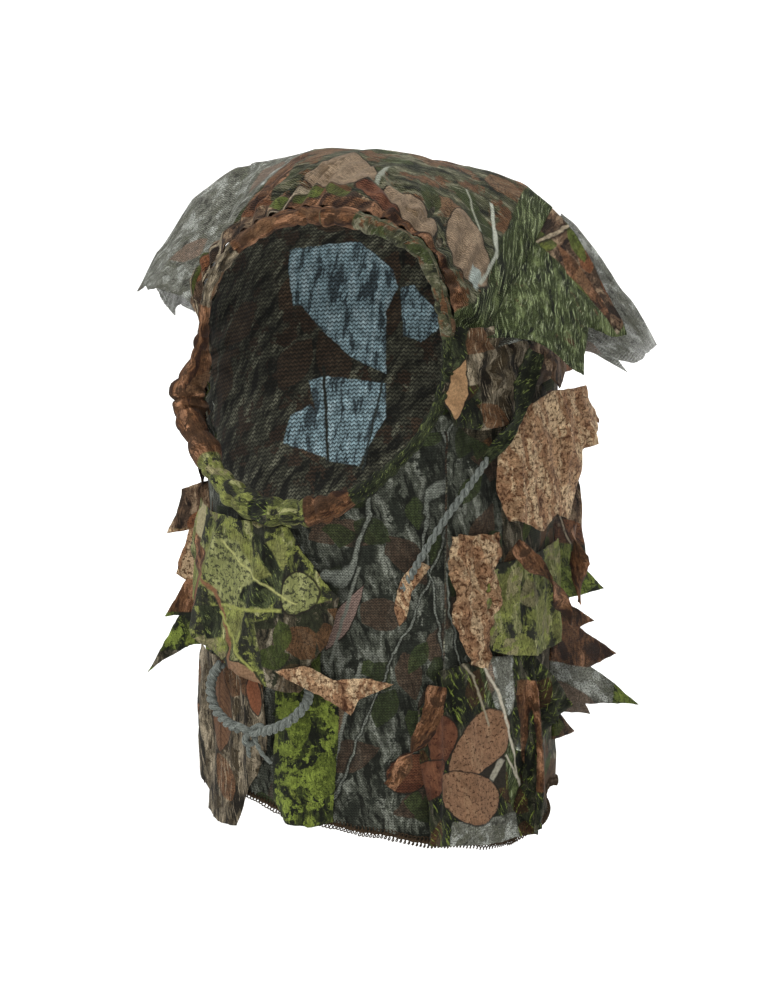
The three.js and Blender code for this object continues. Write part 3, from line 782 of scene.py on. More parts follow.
RIM_SCALE = 90  # the casing's cloth runs this many millimetres a radian
MARKS = {
    "hood": [
        patch(NECK, (80, -184), (136, -224), (132, -490), (80, -490)),
        patch(NECK, (-80, -184), (-118, -224), (-118, -490), (-80, -490)),
    ],
    "inside": [
        patch(KNIT_BLUE, (-234, -120), (-288, -118), (-311, -138), (-314, -150), (-306, -166), (-240, -158)),
        patch(KNIT_BLUE, (-240, -156), (-306, -160), (-306, -207), (-272, -191), (-258, -173)),
        patch(KNIT_BLUE, (-316, -150), (-325, -148), (-342, -166), (-346, -174), (-330, -186), (-318, -182)),
        patch(KNIT_BLUE, (-251, -209), (-262, -207), (-306, -214), (-306, -236), (-287, -269), (-264, -264)),
        patch(KNIT_BLUE, (-231, -248), (-238, -231), (-252, -225), (-265, -240), (-264, -262), (-240, -252)),
        stick((-262, -200), (-265, -266), 2.4, "23251f"),
        stick((-304, -212), (-290, -272), 1.6, "2c3230"),
    ],
    "neck": [
        leaf("75634f", 22, -330, 16, 7, 62, 0.3), leaf("7f6b62", 30, -262, 24, 5.5, 58, 0.5),
        lobe(RED_LOBE, 75, -359, 18, 11, -160), stick((14, -400), (27, -335), 3, "7f8278"),
        stick((27, -336), (41, -290), 2.4, "7f8278"), stick((-5, -400), (12, -338), 2.4, "766e62"),
        stick((40, -230), (20, -292), 2, "6f7268"),
    ],
    "rim": [
        band(-1, 0.25 * RIM_SCALE, RUST), band(0.25 * RIM_SCALE, 1.35 * RIM_SCALE, CROWN),
        band(1.35 * RIM_SCALE, 2.72 * RIM_SCALE, DARK_GREEN),
        band(3.05 * RIM_SCALE, 3.95 * RIM_SCALE, LIME),
        band(3.30 * RIM_SCALE, 3.44 * RIM_SCALE, DARK_PATCH),
        band(5.0 * RIM_SCALE, 5.5 * RIM_SCALE, TAN_BARK),
    ],
    "crown": [
        patch(BRIM_GREY, (-120, -10), (-64, -10), (-60, 140), (-120, 140)),
        patch(RUST, (-66, 10), (-56, 8), (-40, 70), (-38, 112), (-56, 112)),
        patch(LEAF_BROWN, (-120, 96), (-20, 98), (20, 110), (20, 140), (-120, 140)),
        patch(RUST, (-28, 98), (44, 106), (120, 94), (120, 140), (-28, 140)),
        patch(GRASS, (86, -10), (120, -10), (120, 140), (90, 130)), lobe(MESH_TAN, -8, 72, 27, 18, 74),
        lobe(RED_LOBE, 24, 98, 17, 12, 10), lobe(MESH_TAN, 37, 94, 18, 13, 30),
        lobe(MESH_TAN, 73, 78, 20, 15, 60), patch(rgb("98a19a"), (80, 84), (88, 84), (88, 94), (82, 96)),
        stick((13, 56), (15, 84), 3, "85887a"), stick((74, 34), (90, 64), 2.6, "a9ac9e"),
        stick((90, 63), (88, 88), 2.2, "a9ac9e"), stick((58, 40), (76, 62), 1.4, "8f9180"),
    ],
    "grass": [
        patch(LEAF_BROWN, (90, -6), (175, -6), (175, 18), (140, 34), (90, 30)),
        patch(RUST, (116, 20), (160, 12), (170, 22), (130, 34)),
    ],
    "lime": [
        patch(rgb("8d8566"), (-100, -204), (-88, -204), (-82, -226), (-100, -228)),
        patch(LEAF_BROWN, (4, -190), (45, -190), (45, -232), (16, -232)),
        patch(BARK, (-20, -260), (20, -246), (45, -236), (45, -310), (-6, -310)),
        patch(SPOT_LIME, (-72, -218), (-40, -220), (-18, -244), (-30, -257), (-60, -254)),
        patch(DARK_GREEN, (-34, -244), (-5, -232), (-4, -246), (-14, -254), (-36, -252)),
        patch(DARK_GREEN, (-30, -214), (-22, -213), (-4, -232), (-12, -236)),
        lobe(SPOT_LIME, 5, -244, 12, 10, 60),
        patch(RUST, (-100, -226), (-74, -232), (-66, -244), (-84, -247), (-100, -240)),
        leaf("6b4733", -80, -257, 15, 8, 82, 0.4),
        patch(DARK_GREEN, (-66, -262), (-50, -258), (-48, -276), (-60, -280)),
        leaf("7b6049", -20, -297, 17, 6, -38, 0.3), stick((-86, -236), (-56, -252), 2.4, "6f5039"),
        stick((-57, -251), (-44, -271), 2.6, "6f5039"), stick((-44, -270), (-33, -292), 3, "6f5039"),
        stick((-56, -222), (4, -250), 1.1, "9a9a62"), stick((-52, -258), (-4, -254), 1.8, "84874a"),
        stick((-52, -262), (-18, -290), 1.6, "84874a"),
    ],
    "dark": [
        patch(GRASS, (116, -290), (126, -298), (158, -390), (146, -394)),
        patch(BRIM_GREY, (120, -290), (146, -294), (146, -328), (134, -334), (126, -312)),
        patch(RUST, (148, -312), (172, -316), (180, -382), (158, -384)),
        patch(BRIM_GREY, (98, -391), (148, -395), (152, -424), (94, -424)),
        lobe(RED_LOBE, 88, -341, 17, 13, 80), lobe(RED_LOBE, 76, -360, 18, 11, -160),
        patch(rgb("28241d"), (112, -362), (136, -354), (138, -376), (124, -377)),
        stick((134, -358), (125, -374), 4, "8c8879"), lobe(TAN_LOBE, 118, -347, 25, 16, 38),
        lobe(TAN_LOBE, 108, -376, 26, 14, -30), stick((115, -286), (132, -315), 1.8, "b5ae9c"),
        stick((132, -314), (140, -342), 2.0, "b5ae9c"), stick((140, -340), (155, -388), 1.8, "b5ae9c"),
        stick((137, -356), (150, -374), 1.5, "b5ae9c"), stick((99, -285), (115, -304), 1.6, "8d8570"),
        stick((114, -303), (126, -336), 1.4, "8d8570"), stick((83, -291), (107, -287), 1.4, "8d8570"),
    ],
    "tanbark": [
        leaf("774a33", -30, -312, 15, 5, 100, 0.3), leaf("5d4330", -66, -330, 26, 12, 96, 0.8),
        patch(RUST, (-122, -340), (-106, -340), (-98, -388), (-122, -388)),
    ],
    "bunched": [
        patch(DARK_GREEN, (84, -84), (106, -84), (100, -118), (84, -118)),
        patch(DARK_PATCH, (84, -124), (112, -120), (116, -150), (84, -150)),
        leaf("9a7a58", 99, -122, 18, 6, 80, 0.3),
    ],
    "tips": [
        band(-237, -200, LEAF_BROWN), band(-271, -237, SPOTTED), band(-293, -271, RUST),
        band(-330, -319, BARK),
    ],
    "streamers": [
        band(-276, -240, MOSS), band(-318, -276, RUST), band(-352, -318, BRIM_GREY),
        patch(MOSS, (38, -345), (60, -345), (60, -318), (44, -318)),
    ],
}
# Each print's material name and ground, then the knit's pitch, the painted shade in its holes and how open it
# is.
PRINTS = {
    "hood": ("hood_print", BARK, 1.5, 0.35),
    "inside": ("hood_reverse", INSIDE, 2.7, 0.8),
    "neck": ("neck_print", NECK, 1.7, 0.5),
    "rim": ("rim_print", RUST, 1.0),
    "crown": ("crown_print", CROWN, 1.5, 0.45, 0.12),
    "grey": ("brim_mesh_print", BRIM_GREY, 1.5, 0.3, 0.3),
    "pale": ("brim_mesh_back", BRIM_GREY, 1.7, 0.2, 0.6),
    "grass": ("grass_print", GRASS, 1.3, 0.2, 0.1),
    "lime": ("lime_print", LIME),
    "moss": ("moss_print", MOSS),
    "dark": ("patch_print", DARK_PATCH),
    "tie": ("tie_print", DARK_GREEN),
    "spotted": ("spotted_print", SPOTTED),
    "rust": ("rust_print", RUST),
    "brown": ("leaf_print", LEAF_BROWN),
    "bark": ("bark_print", BARK),
    "tanbark": ("tan_bark_print", TAN_BARK),
    "bunched": ("bunched_print", TAN_BARK),
    "tips": ("left_fringe_print", MOSS),
    "streamers": ("right_fringe_print", LEAF_BROWN, 1.1, 0, 0.15),
}


def build_materials():
    return {
        key: cloth_material(name, style, MARKS.get(key, ()), *knitting)
        for key, (name, style, *knitting) in PRINTS.items()
    }


def thread_material(name, tint, dark):
    t = Tree(name)
    fibres = t.noise(t.stretched(t.cloth(), 0.35, 3, 35), 1, 3)
    color = t.mix(t.step(fibres, 0.5, 0.15), dark, tint)
    return t.finish(color, fibres, strength=0.6)


# ---- Hood ----

def hood_side(side, materials):
    across, down = 150, 170
    dome_rows = 60
    u, v = net((0, 1), (0, 1), across, down)
    turn = np.radians((u - 1 if side < 0 else u) * 180)
    row = v * down
    dome = np.radians(2 + 88 * np.minimum(row / dome_rows, 1))
    wall = np.clip((row - dome_rows) / (down - dome_rows), 0, 1)
    z = np.where(wall > 0, -DOME_HEIGHT + wall * (hem_height(turn) + DOME_HEIGHT),
                 -DOME_HEIGHT * (1 - np.cos(dome)))
    bare = hood_point(turn, z)
    reach = opening_reach(bare[:, 0], z)
    front = np.cos(turn) > 0.02
    around = np.arctan2(bare[:, 0] / OPENING_HALF_WIDTH, (z - OPENING_Z) / OPENING_HALF_HEIGHT)
    edge = 1 + (rim_grow(around) - 0.0025) / OPENING_MEAN
    gone = front & ((reach < edge) | ((np.abs(bare[:, 0]) < NECK_HALF - 0.001) & (z < NECK_TOP)))
    faces = grid_faces(across, down)
    kept = faces[~gone[faces].any(1)]
    middle = hood_point(turn, z, hood_relief(turn, z))
    middle[:, 0] = np.where(side * middle[:, 0] < 0.0002, side * 0.0002, middle[:, 0])
    along = np.where(z > -DOME_HEIGHT, -DOME_HEIGHT * dome, z - DOME_HEIGHT * (math.pi / 2 - 1))
    cloth = np.stack([turn * LEAF_RADIUS, along], -1)
    used = np.unique(kept)
    order = np.full(len(middle), -1)
    order[used] = np.arange(len(used))
    name = "hood_cloth_left" if side < 0 else "hood_cloth_right"
    piece = two_sided(name, middle[used], order[kept], cloth[used], materials["hood"], materials["inside"],
                      outward=bare[used] - [0, 0, -0.1])
    dress(piece, "hood_left" if side < 0 else "hood_right", "hood")
    declare_sheet(piece, HOOD_CUT, ["rim_casing"])


def wall_place(flat, stand):
    """Flat cloth (across, down) in metres laid round the hood wall."""
    turn = flat[:, 0] / LEAF_RADIUS
    return hood_point(turn, flat[:, 1], stand + hood_relief(turn, flat[:, 1]) * 0.8)


def hood_front(materials):
    top = NECK_TOP + 0.008
    edge = math.radians(NECK_ANGLE)
    turns = np.linspace(edge, -edge, 25)
    bottom = [(t * LEAF_RADIUS, float(hem_height(np.array(t)))) for t in turns]
    rim = []
    for turn in np.linspace(108, 252, 37):
        p = opening_point(np.radians(turn), 0.001 + rim_grow(np.radians(turn)))
        rim.append((math.atan2(p[0] / HALF_WIDTH, -p[1] / HALF_DEPTH) * LEAF_RADIUS, float(p[2])))
    rim = [p for p in rim if p[1] < top and abs(p[0]) < edge * LEAF_RADIUS - 0.001]
    outline = [(edge * LEAF_RADIUS, top)] + rim + [(-edge * LEAF_RADIUS, top)] + bottom[::-1]
    flat, faces = cut_cloth(outline, NECK_STEP, 0)
    middle = wall_place(flat, -0.0005)
    piece = two_sided("neck_panel", middle, faces, flat, materials["neck"], materials["inside"],
                      outward=middle * [1, 1, 0])
    dress(piece, "hood_front", "hood")
    declare_sheet(piece, outline, ["rim_casing"])


def tube_mesh(name, path, radii, sides, material, closed=False, guide=None, cloth=None):
    """A tube along a path; radii may be one number, one a point, or one a point and side."""
    path = np.array(path, float)
    count = len(path)
    ahead = np.roll(path, -1, 0) - np.roll(path, 1, 0)
    if not closed:
        ahead[0] = path[1] - path[0]
        ahead[-1] = path[-1] - path[-2]
    ahead = unit(ahead)
    if guide is None:
        guide = path * [1, 1, 0] + [0, 0, 0.0001]
    side = unit(np.cross(ahead, guide))
    out = np.cross(side, ahead)
    angles = np.linspace(0, 2 * math.pi, sides, endpoint=False)
    radii = np.reshape(radii, (-1, 1)) if np.ndim(radii) < 2 else radii
    spokes = np.cos(angles)[None, :, None] * out[:, None] + np.sin(angles)[None, :, None] * side[:, None]
    points = (path[:, None] + radii[..., None] * spokes).reshape(-1, 3)
    rings = np.arange(count * sides).reshape(count, sides)
    after = np.roll(rings, -1, 0)
    faces = np.stack([rings, np.roll(rings, -1, 1), np.roll(after, -1, 1), after], -1)
    faces = (faces if closed else faces[:-1]).reshape(-1, 4).tolist()
    if not closed:
        faces.append(tuple(range(sides))[::-1])
        faces.append(tuple(range((count - 1) * sides, count * sides)))
    if cloth is None:
        cloth = (0.012, along_line(path))
    width, lengths = cloth
    round_tube = np.tile(angles / (2 * math.pi) * width, count)
    cloth = np.stack([round_tube, np.repeat(lengths, sides)], -1)
    return mesh_object(name, points, faces, [material], cloth=cloth)


def rim_casing(material, elastic):
    """The gathered casing: a tube whose girth changes round the opening, with many small pleats."""
    count, sides = 900, 28
    turn = np.linspace(0, 2 * math.pi, count, endpoint=False)
    degrees = np.degrees(turn)
    stations = [0, 40, 80, 110, 130, 150, 172, 192, 208, 222, 230, 240, 246, 254, 262, 276, 300, 330, 360]
    girth = [6.8, 5.6, 4.6, 4.4, 4.8, 6.0, 9.5, 11, 11, 8, 11, 9, 12, 12, 7, 4.6, 4.8, 6.0, 6.8]
    radius = np.interp(degrees, stations, girth) * MM
    path = opening_point(turn, rim_grow(turn), rim_stand(turn))
    flat = np.stack([turn * 0.087, np.zeros(count), np.zeros(count)], -1)
    phase = turn * 46 + 4.5 * noise3(flat, 0.02, 41)
    pleat = np.abs(np.sin(phase / 2)) ** 0.7
    puff = noise3(flat, 0.024, 43)
    angles = np.linspace(0, 2 * math.pi, sides, endpoint=False)
    ripple = 0.70 + 0.30 * pleat[:, None] * (0.7 + 0.3 * np.sin(angles * 3 + phase[:, None] * 0.5))
    radii = radius[:, None] * ripple * (1 + 0.2 * puff[:, None])
    piece = tube_mesh("rim_gathered", path, radii, sides, material, closed=True,
                      guide=path - [0, -0.02, OPENING_Z], cloth=(0.05, turn * 0.09))
    dress(piece, "rim_casing", "hood")
    band = tube_mesh("rim_elastic_band", path[::3], ELASTIC_RADIUS, 8, elastic, closed=True)
    dress(band, "rim_elastic", "hood")


def centre_seam(material, thread):
    """A folded tape over the join of the two halves, with a row of stitches down each side."""
    rows = 240
    s = np.linspace(0, 1, rows + 1)
    dome_share = 0.42
    dome = np.radians(-30 + 120 * np.minimum(s / dome_share, 1))
    wall = np.clip((s - dome_share) / (1 - dome_share), 0, 1)
    lift = 0.0007
    y = (HALF_DEPTH + lift) * np.sin(dome)
    z = (DOME_HEIGHT + lift) * np.cos(dome) - DOME_HEIGHT - wall * (SIDE_HEM - DOME_HEIGHT)
    across = np.linspace(-0.0038, 0.0038, 7)
    line = np.stack([np.zeros(rows + 1), y, z], -1)
    out = np.cross(unit(np.gradient(line, axis=0)), [1.0, 0, 0])
    out *= np.sign(out[:, 1:2] * 0.3 + out[:, 2:3] + 1e-9)
    puckers = 0.0004 * np.sin(s * 420)[:, None] + 0.0008 * (1 - (across / 0.0038) ** 2)[None]
    middle = line[:, None] + across[None, :, None] * np.array([1.0, 0, 0]) + out[:, None] * puckers[..., None]
    length = along_line(line)
    cloth = np.stack([np.tile(across, rows + 1), np.repeat(length, 7)], -1)
    piece = two_sided("seam_tape_cloth", middle.reshape(-1, 3), grid_faces(6, rows), cloth, material,
                      outward=np.repeat(out, 7, 0))
    dress(piece, "centre_seam", "hood")
    steps = np.linspace(0, length[-1], 900)
    path, away = (
        np.stack([np.interp(steps, length, points[:, i]) for i in range(3)], -1) for points in (line, out)
    )
    rise = 0.0008 + 0.0004 * np.sin(steps * 2 * math.pi / STITCH_LENGTH)
    path = path + away * rise[:, None]
    for index, at in enumerate((-0.0026, 0.0026)):
        stitch = tube_mesh(f"seam_stitches_{index}", path + [at, 0, 0], STITCH_RADIUS, 5, thread, guide=away)
        dress(stitch, None, "hood")


def hem_binding(thread):
    """Overlock loops of thread over the raw hem, and a soft roll of cloth inside them."""
    loops = 300
    steps = loops * 14
    t = np.linspace(0, 2 * math.pi, steps, endpoint=False)
    turn = np.arctan2(np.sin(t), np.cos(t))
    phase = t * loops
    flat = np.stack([t * LEAF_RADIUS, np.zeros(steps), np.zeros(steps)], -1)
    uneven = noise3(flat, 0.004, 51)
    z = hem_height(turn) + 0.0005 + (0.0030 + 0.0008 * uneven) * np.sin(phase)
    stand = 0.0013 * np.cos(phase) * (1 + 0.3 * uneven) + hood_relief(turn, hem_height(turn))
    slide = 0.0011 * np.sin(phase * 2) / LEAF_RADIUS
    path = hood_point(turn + slide, z, stand)
    piece = tube_mesh("hem_overlock", path, OVERLOCK_RADIUS, 5, thread, closed=True)
    dress(piece, "hem_binding", "hood")
    count = 600
    t = np.linspace(0, 2 * math.pi, count, endpoint=False)
    turn = np.arctan2(np.sin(t), np.cos(t))
    roll = hood_point(turn, hem_height(turn) + 0.0008, hood_relief(turn, hem_height(turn)))
    core = tube_mesh("hem_roll", roll, 0.0012 + 0.0003 * np.sin(t * 90), 8, thread, closed=True)
    dress(core, None, "hood")


# ---- Brim ----

def brim_arch(x):
    return BRIM_TOP - BRIM_DROP * np.abs(x / BRIM_TIP) ** 2.75


def lerp(a, b, t):
    return a + (b - a) * t


def brim_relief(points):
    """Creases and slow waves of the brim's thin mesh."""
    return crumple(points, 0.026, 61) * 0.0026 + noise3(points, 0.05, 63) * 0.0035


def brim_lean(x, v):
    """The brim hangs a little higher on the left than on the right."""
    stations = [-176, -160, -136, -109, -74, -40, -6, 30, 55, 85, 110, 138, 155, 170, 178]
    shift = [2, 8, 13, 9, 4, -1, -5, -7, -9, -6, -9, -15, -16, -8, -2]
    near = [np.interp(x / MM + d, stations, shift) for d in (-18, -12, -6, 0, 6, 12, 18)]
    return sum(near) / len(near) * MM * (1 - 0.8 * np.clip(v, 0, 1))


def brim_crown_place(x, v):
    """The front layer over the crown: x runs from -1 to 1, v from its back edge to the sewn edge."""
    zero = np.zeros_like(x)
    back = np.stack([x * WING_ROOT, zero + BRIM_BACK, brim_arch(x * WING_ROOT)], -1)
    stand = lerp(0.0045, BRIM_STAND, smooth((np.abs(x) - 0.55) / 0.45))
    front = opening_point(x * math.radians(BRIM_SWEEP), BRIM_GROW, stand)
    p = lerp(back, front, np.minimum(v, 1)[:, None])
    p[:, 2] += 0.008 * 4 * v * (1 - v) * (1 - x * x) * (v < 1) + brim_lean(p[:, 0], v)
    turn = x * math.radians(BRIM_SWEEP + 2)
    tucked = opening_point(turn, rim_grow(turn) + 0.003, 0.0045)
    return lerp(p, tucked, smooth((v - 1) / 0.24)[:, None])


def brim_back_place(x, v):
    zero = np.zeros_like(x)
    reach = x * (WING_ROOT - 0.003)
    front = np.stack([reach, zero + BRIM_BACK + 0.002, brim_arch(reach) - 0.003], -1)
    p = lerp(hood_point(np.radians(180 - x * 62), zero - 0.034, 0.004), front, v[:, None])
    p[:, 2] += 0.009 * 4 * v * (1 - v) + brim_lean(p[:, 0], 0) * smooth(v)
    return p


def wing_corners(side, layer):
    front_root = opening_point(np.array(side * math.radians(BRIM_SWEEP)), BRIM_GROW, BRIM_STAND)
    back_root = np.array([side * WING_ROOT, BRIM_BACK, float(brim_arch(np.array(WING_ROOT)))])
    table = {
        (-1, "front"): (front_root, back_root, (-163, -12, -93), (-176, 2, -94)),
        (1, "front"): (front_root, back_root, (153, -45, -115), (167, -8, -87)),
        (-1, "back"): ((-104, -56, -95), (-107, 36, -23), (-148, 2, -108), (-172, 14, -99)),
        (1, "back"): ((104, -56, -95), (107, 36, -23), (163, 6, -120), (178, 14, -99)),
    }
    corners = [np.array(c, float) for c in table[side, layer]]
    return [c if np.abs(c).max() < 1 else c * MM for c in corners]


def wing_place(side, layer, u, v):
    """A wing: u runs from the fold line to the tip, v from its back edge to its front edge."""
    front_root, back_root, front_tip, back_tip = wing_corners(side, layer)
    inner = lerp(back_root, front_root, v[:, None])
    outer = lerp(back_tip, front_tip, v[:, None])
    p = lerp(inner, outer, u[:, None])
    p[:, 2] += brim_lean(p[:, 0], v)
    swell = 0.008 * 4 * u * (1 - u)
    return p + swell[:, None] * [side * 0.5, 0, 0.86]


WINGS = {
    "brim_front_left": (-1, "front", "grey", [(1.0, 0.0), (0.97, 0.5), (0.86, 1.0)]),
    "brim_front_right": (1, "front", "grass", [
        (1.0, 0.0), (0.93, 0.22), (0.86, 0.33), (0.74, 0.48), (0.80, 0.60), (0.88, 0.78), (1.0, 0.97),
        (0.93, 1.0),
    ]),
    "brim_back_left": (-1, "back", "pale", [(0.95, 0.0), (0.98, 0.5), (0.96, 1.0)]),
    "brim_back_right": (1, "back", "pale", [(1.0, 0.0), (1.0, 0.5), (0.97, 0.72), (0.86, 0.86), (1.0, 1.0)]),
}


def brim(materials):
    across, down = 170, 84
    x, v = net((-1, 1), (0, 1.24), across, down)
    middle = brim_crown_place(x, v)
    normals = vertex_normals(middle, grid_faces(across, down))
    normals *= np.sign(normals[:, 2:3] + 1e-9)
    pleats = np.sin(x * 60 + 7 * noise3(middle, 0.03, 65)) * 0.0016 * smooth((v - 0.4) / 0.5)
    ridge = crumple(np.stack([x * 0.1, v * 0.05, x * 0], -1), 0.011, 67) * 0.0030
    ridge *= smooth(1 - np.abs(v - 0.97) / 0.22)
    edge = smooth((1 - np.abs(x)) / 0.06)
    middle = middle + normals * ((pleats + ridge) * edge)[:, None]
    middle[:, 2] += brim_relief(middle) * smooth((1.24 - v) / 0.12)
    cloth = np.stack([x * WING_ROOT, v * 0.1], -1)
    piece = two_sided("brim_crown_cloth", middle, grid_faces(across, down), cloth, materials["crown"],
                      outward=np.array([0, 0, 1.0]))
    dress(piece, "brim_crown", "hood")
    declare_sheet(piece, (0.24, 0.17), ["rim_casing"])

    across, down = 90, 36
    x, v = net((-1, 1), (0, 1), across, down)
    middle = brim_back_place(x, v)
    middle[:, 2] += brim_relief(middle) - 0.001
    cloth = np.stack([x * WING_ROOT, 0.18 - v * 0.075], -1)
    piece = two_sided("brim_back_cloth", middle, grid_faces(across, down), cloth, materials["crown"],
                      outward=np.array([0, 0, 1.0]))
    dress(piece, "brim_back_crown", "hood")
    declare_sheet(piece, (0.22, 0.085), ["hood_left", "hood_right"])

    for node, (side, layer, fabric, ends) in WINGS.items():
        corners = wing_corners(side, layer)
        reach = float(np.linalg.norm((corners[2] + corners[3] - corners[0] - corners[1]) / 2))
        depth = float(np.linalg.norm(corners[0] - corners[1]))
        outline = [(-0.002, 0), (-0.002, depth)] + [(u * reach, v * depth) for u, v in ends[::-1]]
        flat, faces = cut_cloth(outline, CLOTH_STEP)
        u, v = np.clip(flat[:, 0] / reach, -0.1, 1.02), np.clip(flat[:, 1] / depth, 0, 1)
        middle = wing_place(side, layer, u, v)
        middle[:, 2] += brim_relief(middle) - 0.0007 * smooth(1 - u * 8)
        cloth = np.stack([side * (WING_ROOT + flat[:, 0]), flat[:, 1]], -1)
        piece = two_sided(node + "_cloth", middle, faces, cloth, materials[fabric],
                          outward=np.array([side * 0.54, -0.52, 0.66]))
        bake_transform(piece)
        dress(piece, node, None)
        declare_sheet(piece, outline, ["hood_left" if side < 0 else "hood_right"])


# ---- Leaves and flaps ----
# Each is cut to an outline of (degrees round the hood, millimetres of height). stand is how far it
# lies off the wall at its top and at its foot, and ripple is how deep its waves are, in millimetres.

def flap(outline, stand, ripple, fabric, slot, body="hood", hinge=None, grow=0.08, flare=0, fluff=False):
    """A cloth flap. grow is the slack it gets, and hinge the height of its sewn line; a flap given one is
    attached to no body.
    """
    return {"outline": cloth_outline(outline), "stand": stand, "ripple": ripple, "fabric": fabric,
            "slot": slot, "body": body, "hinge": hinge, "grow": grow, "flare": flare, "fluff": fluff}


FLAPS = {
    "bib_flap": flap([
        (-58, -208), (-56, -232), (-50, -250), (-46, -262), (-40, -274), (-33, -282), (-25, -287),
        (-12, -294), (-3, -298), (4, -298), (6, -292), (5, -286), (11, -270), (13, -256), (14, -244),
        (9, -234), (6, -226), (2, -218), (-2, -206),
    ], (5, 24), 5.0, "lime", "leaf_green", "bib", grow=0.06, hinge=-210),
    "bib_leaf": flap([
        (-2, -292), (8, -302), (14, -309), (19, -316), (21, -306), (30, -297), (22, -293), (14, -295),
        (6, -287),
    ], (23, 25), 2.5, "spotted", "leaf_brown", "bib", grow=0),
    "lower_left_flap": flap([
        (-60, -300), (-61, -330), (-57, -350), (-54, -366), (-46, -378), (-41, -384), (-41, -396),
        (-31, -398), (-22, -396), (-19, -378), (-14, -362), (-10, -340), (-12, -300),
    ], (5, 11), 4.5, "tanbark", "leaf_bark", grow=0.04),
    "moss_flap": flap([
        (-7, -300), (-8, -350), (-8, -376), (-2, -388), (6, -390), (12, -386), (13, -340), (14, -300),
    ], (4, 8), 3.5, "moss", "leaf_green", grow=0.03),
    "left_side_leaf": flap([
        (-108, -138), (-112, -160), (-104, -172), (-106, -190), (-96, -196), (-92, -212), (-84, -200),
        (-78, -208), (-74, -188), (-66, -186), (-70, -138),
    ], (5, 12), 4.0, "brown", "leaf_brown", "left_leaf", hinge=-140),
    "left_lower_patch": flap([
        (-106, -340), (-108, -374), (-104, -396), (-94, -390), (-86, -398), (-76, -392), (-67, -396),
        (-66, -340),
    ], (3, 4), 1.5, "dark", "leaf_dark"),
    "right_mesh_flap": flap([
        (77, -102), (76, -124), (84, -130), (90, -126), (96, -134), (104, -127), (112, -130), (110, -102),
    ], (4, 6), 1.8, "brown", "leaf_mesh"),
    "spotted_leaf": flap([
        (70, -140), (64, -160), (62, -182), (64, -200), (72, -204), (80, -212), (86, -204), (92, -210),
        (97, -192), (101, -186), (100, -174), (108, -172), (115, -160), (110, -152), (106, -146),
        (104, -136), (88, -134),
    ], (8, 15), 5.0, "spotted", "leaf_spotted", "spotted", hinge=-138, flare=20),
    "fluffy_strip": flap([
        (48, -212), (47, -230), (50, -244), (49, -262), (52, -276), (55, -288), (60, -292), (61, -270),
        (64, -256), (63, -236), (65, -214),
    ], (4, 8), 3.2, "spotted", "leaf_fluffy", fluff=True),
    "lime_leaf": flap([
        (62, -234), (60, -262), (63, -286), (72, -292), (82, -296), (96, -298), (104, -294), (106, -262),
        (104, -234),
    ], (4, 7), 2.6, "lime", "leaf_green", grow=0.04),
    "right_patch": flap([
        (36, -300), (34, -340), (36, -400), (46, -405), (64, -410), (82, -412), (94, -402), (101, -386),
        (106, -364), (104, -330), (104, -300), (84, -297), (60, -292),
    ], (3, 5), 2.4, "dark", "leaf_dark", grow=0.015),
    "front_sliver": flap([
        (38, -226), (42, -230), (36, -242), (30, -254), (26, -258), (27, -248), (32, -236),
    ], (5, 8), 0.8, "spotted", "leaf_brown"),
    "back_leaf_upper": flap([
        (146, -116), (145, -150), (150, -176), (158, -196), (164, -214), (168, -192), (174, -184),
        (180, -190), (187, -184), (193, -196), (198, -214), (203, -194), (209, -178), (215, -150),
        (214, -116),
    ], (5, 16), 3.0, "brown", "leaf_brown", "back_upper", hinge=-116),
    "back_leaf_lower": flap([
        (145, -226), (143, -264), (149, -296), (156, -320), (163, -350), (168, -322), (174, -312),
        (180, -324), (187, -313), (192, -324), (198, -351), (204, -322), (212, -296), (217, -262),
        (215, -226),
    ], (5, 18), 3.2, "bark", "leaf_bark", "back_lower", hinge=-226),
}


def flap_stand(shape, flat, top, drop):
    """How far the flap's plain surface lies off the hood's wall, in metres."""
    low, high = shape["stand"]
    down = (top - flat[:, 1]) / drop
    stand = (low + (high - low) * np.clip(down, 0, 1.2)) * MM
    if shape["flare"]:
        across = (flat[:, 0] / LEAF_RADIUS - math.radians(72)) / math.radians(43)
        stand = stand + shape["flare"] * MM * np.clip(across, 0, 1) ** 2
    return stand


def cut_flap(node, shape):
    """The flap's cloth laid on the hood: its flat points, its faces and its points in space."""
    outline = shape["outline"]
    flat, faces = cut_cloth(outline, FLUFF_STEP if shape["fluff"] else CLOTH_STEP)
    top = max(p[1] for p in outline)
    drop = top - min(p[1] for p in outline)
    down = (top - flat[:, 1]) / drop
    where = np.column_stack([flat, np.full(len(flat), len(node) * 0.1)])
    waves = noise3(where / [1, 2.2, 1], 0.022, 71) + 0.4 * crumple(where, 0.02, 73)
    stand = flap_stand(shape, flat, top, drop) + shape["ripple"] * waves * smooth(down * 1.6) * MM
    stand = np.maximum(stand, (shape["stand"][0] - 1.2) * MM)
    return {"outline": outline, "flat": flat, "faces": faces, "down": down, "top": top, "drop": drop,
            "middle": wall_place(flat, stand), "shape": shape, "where": where}


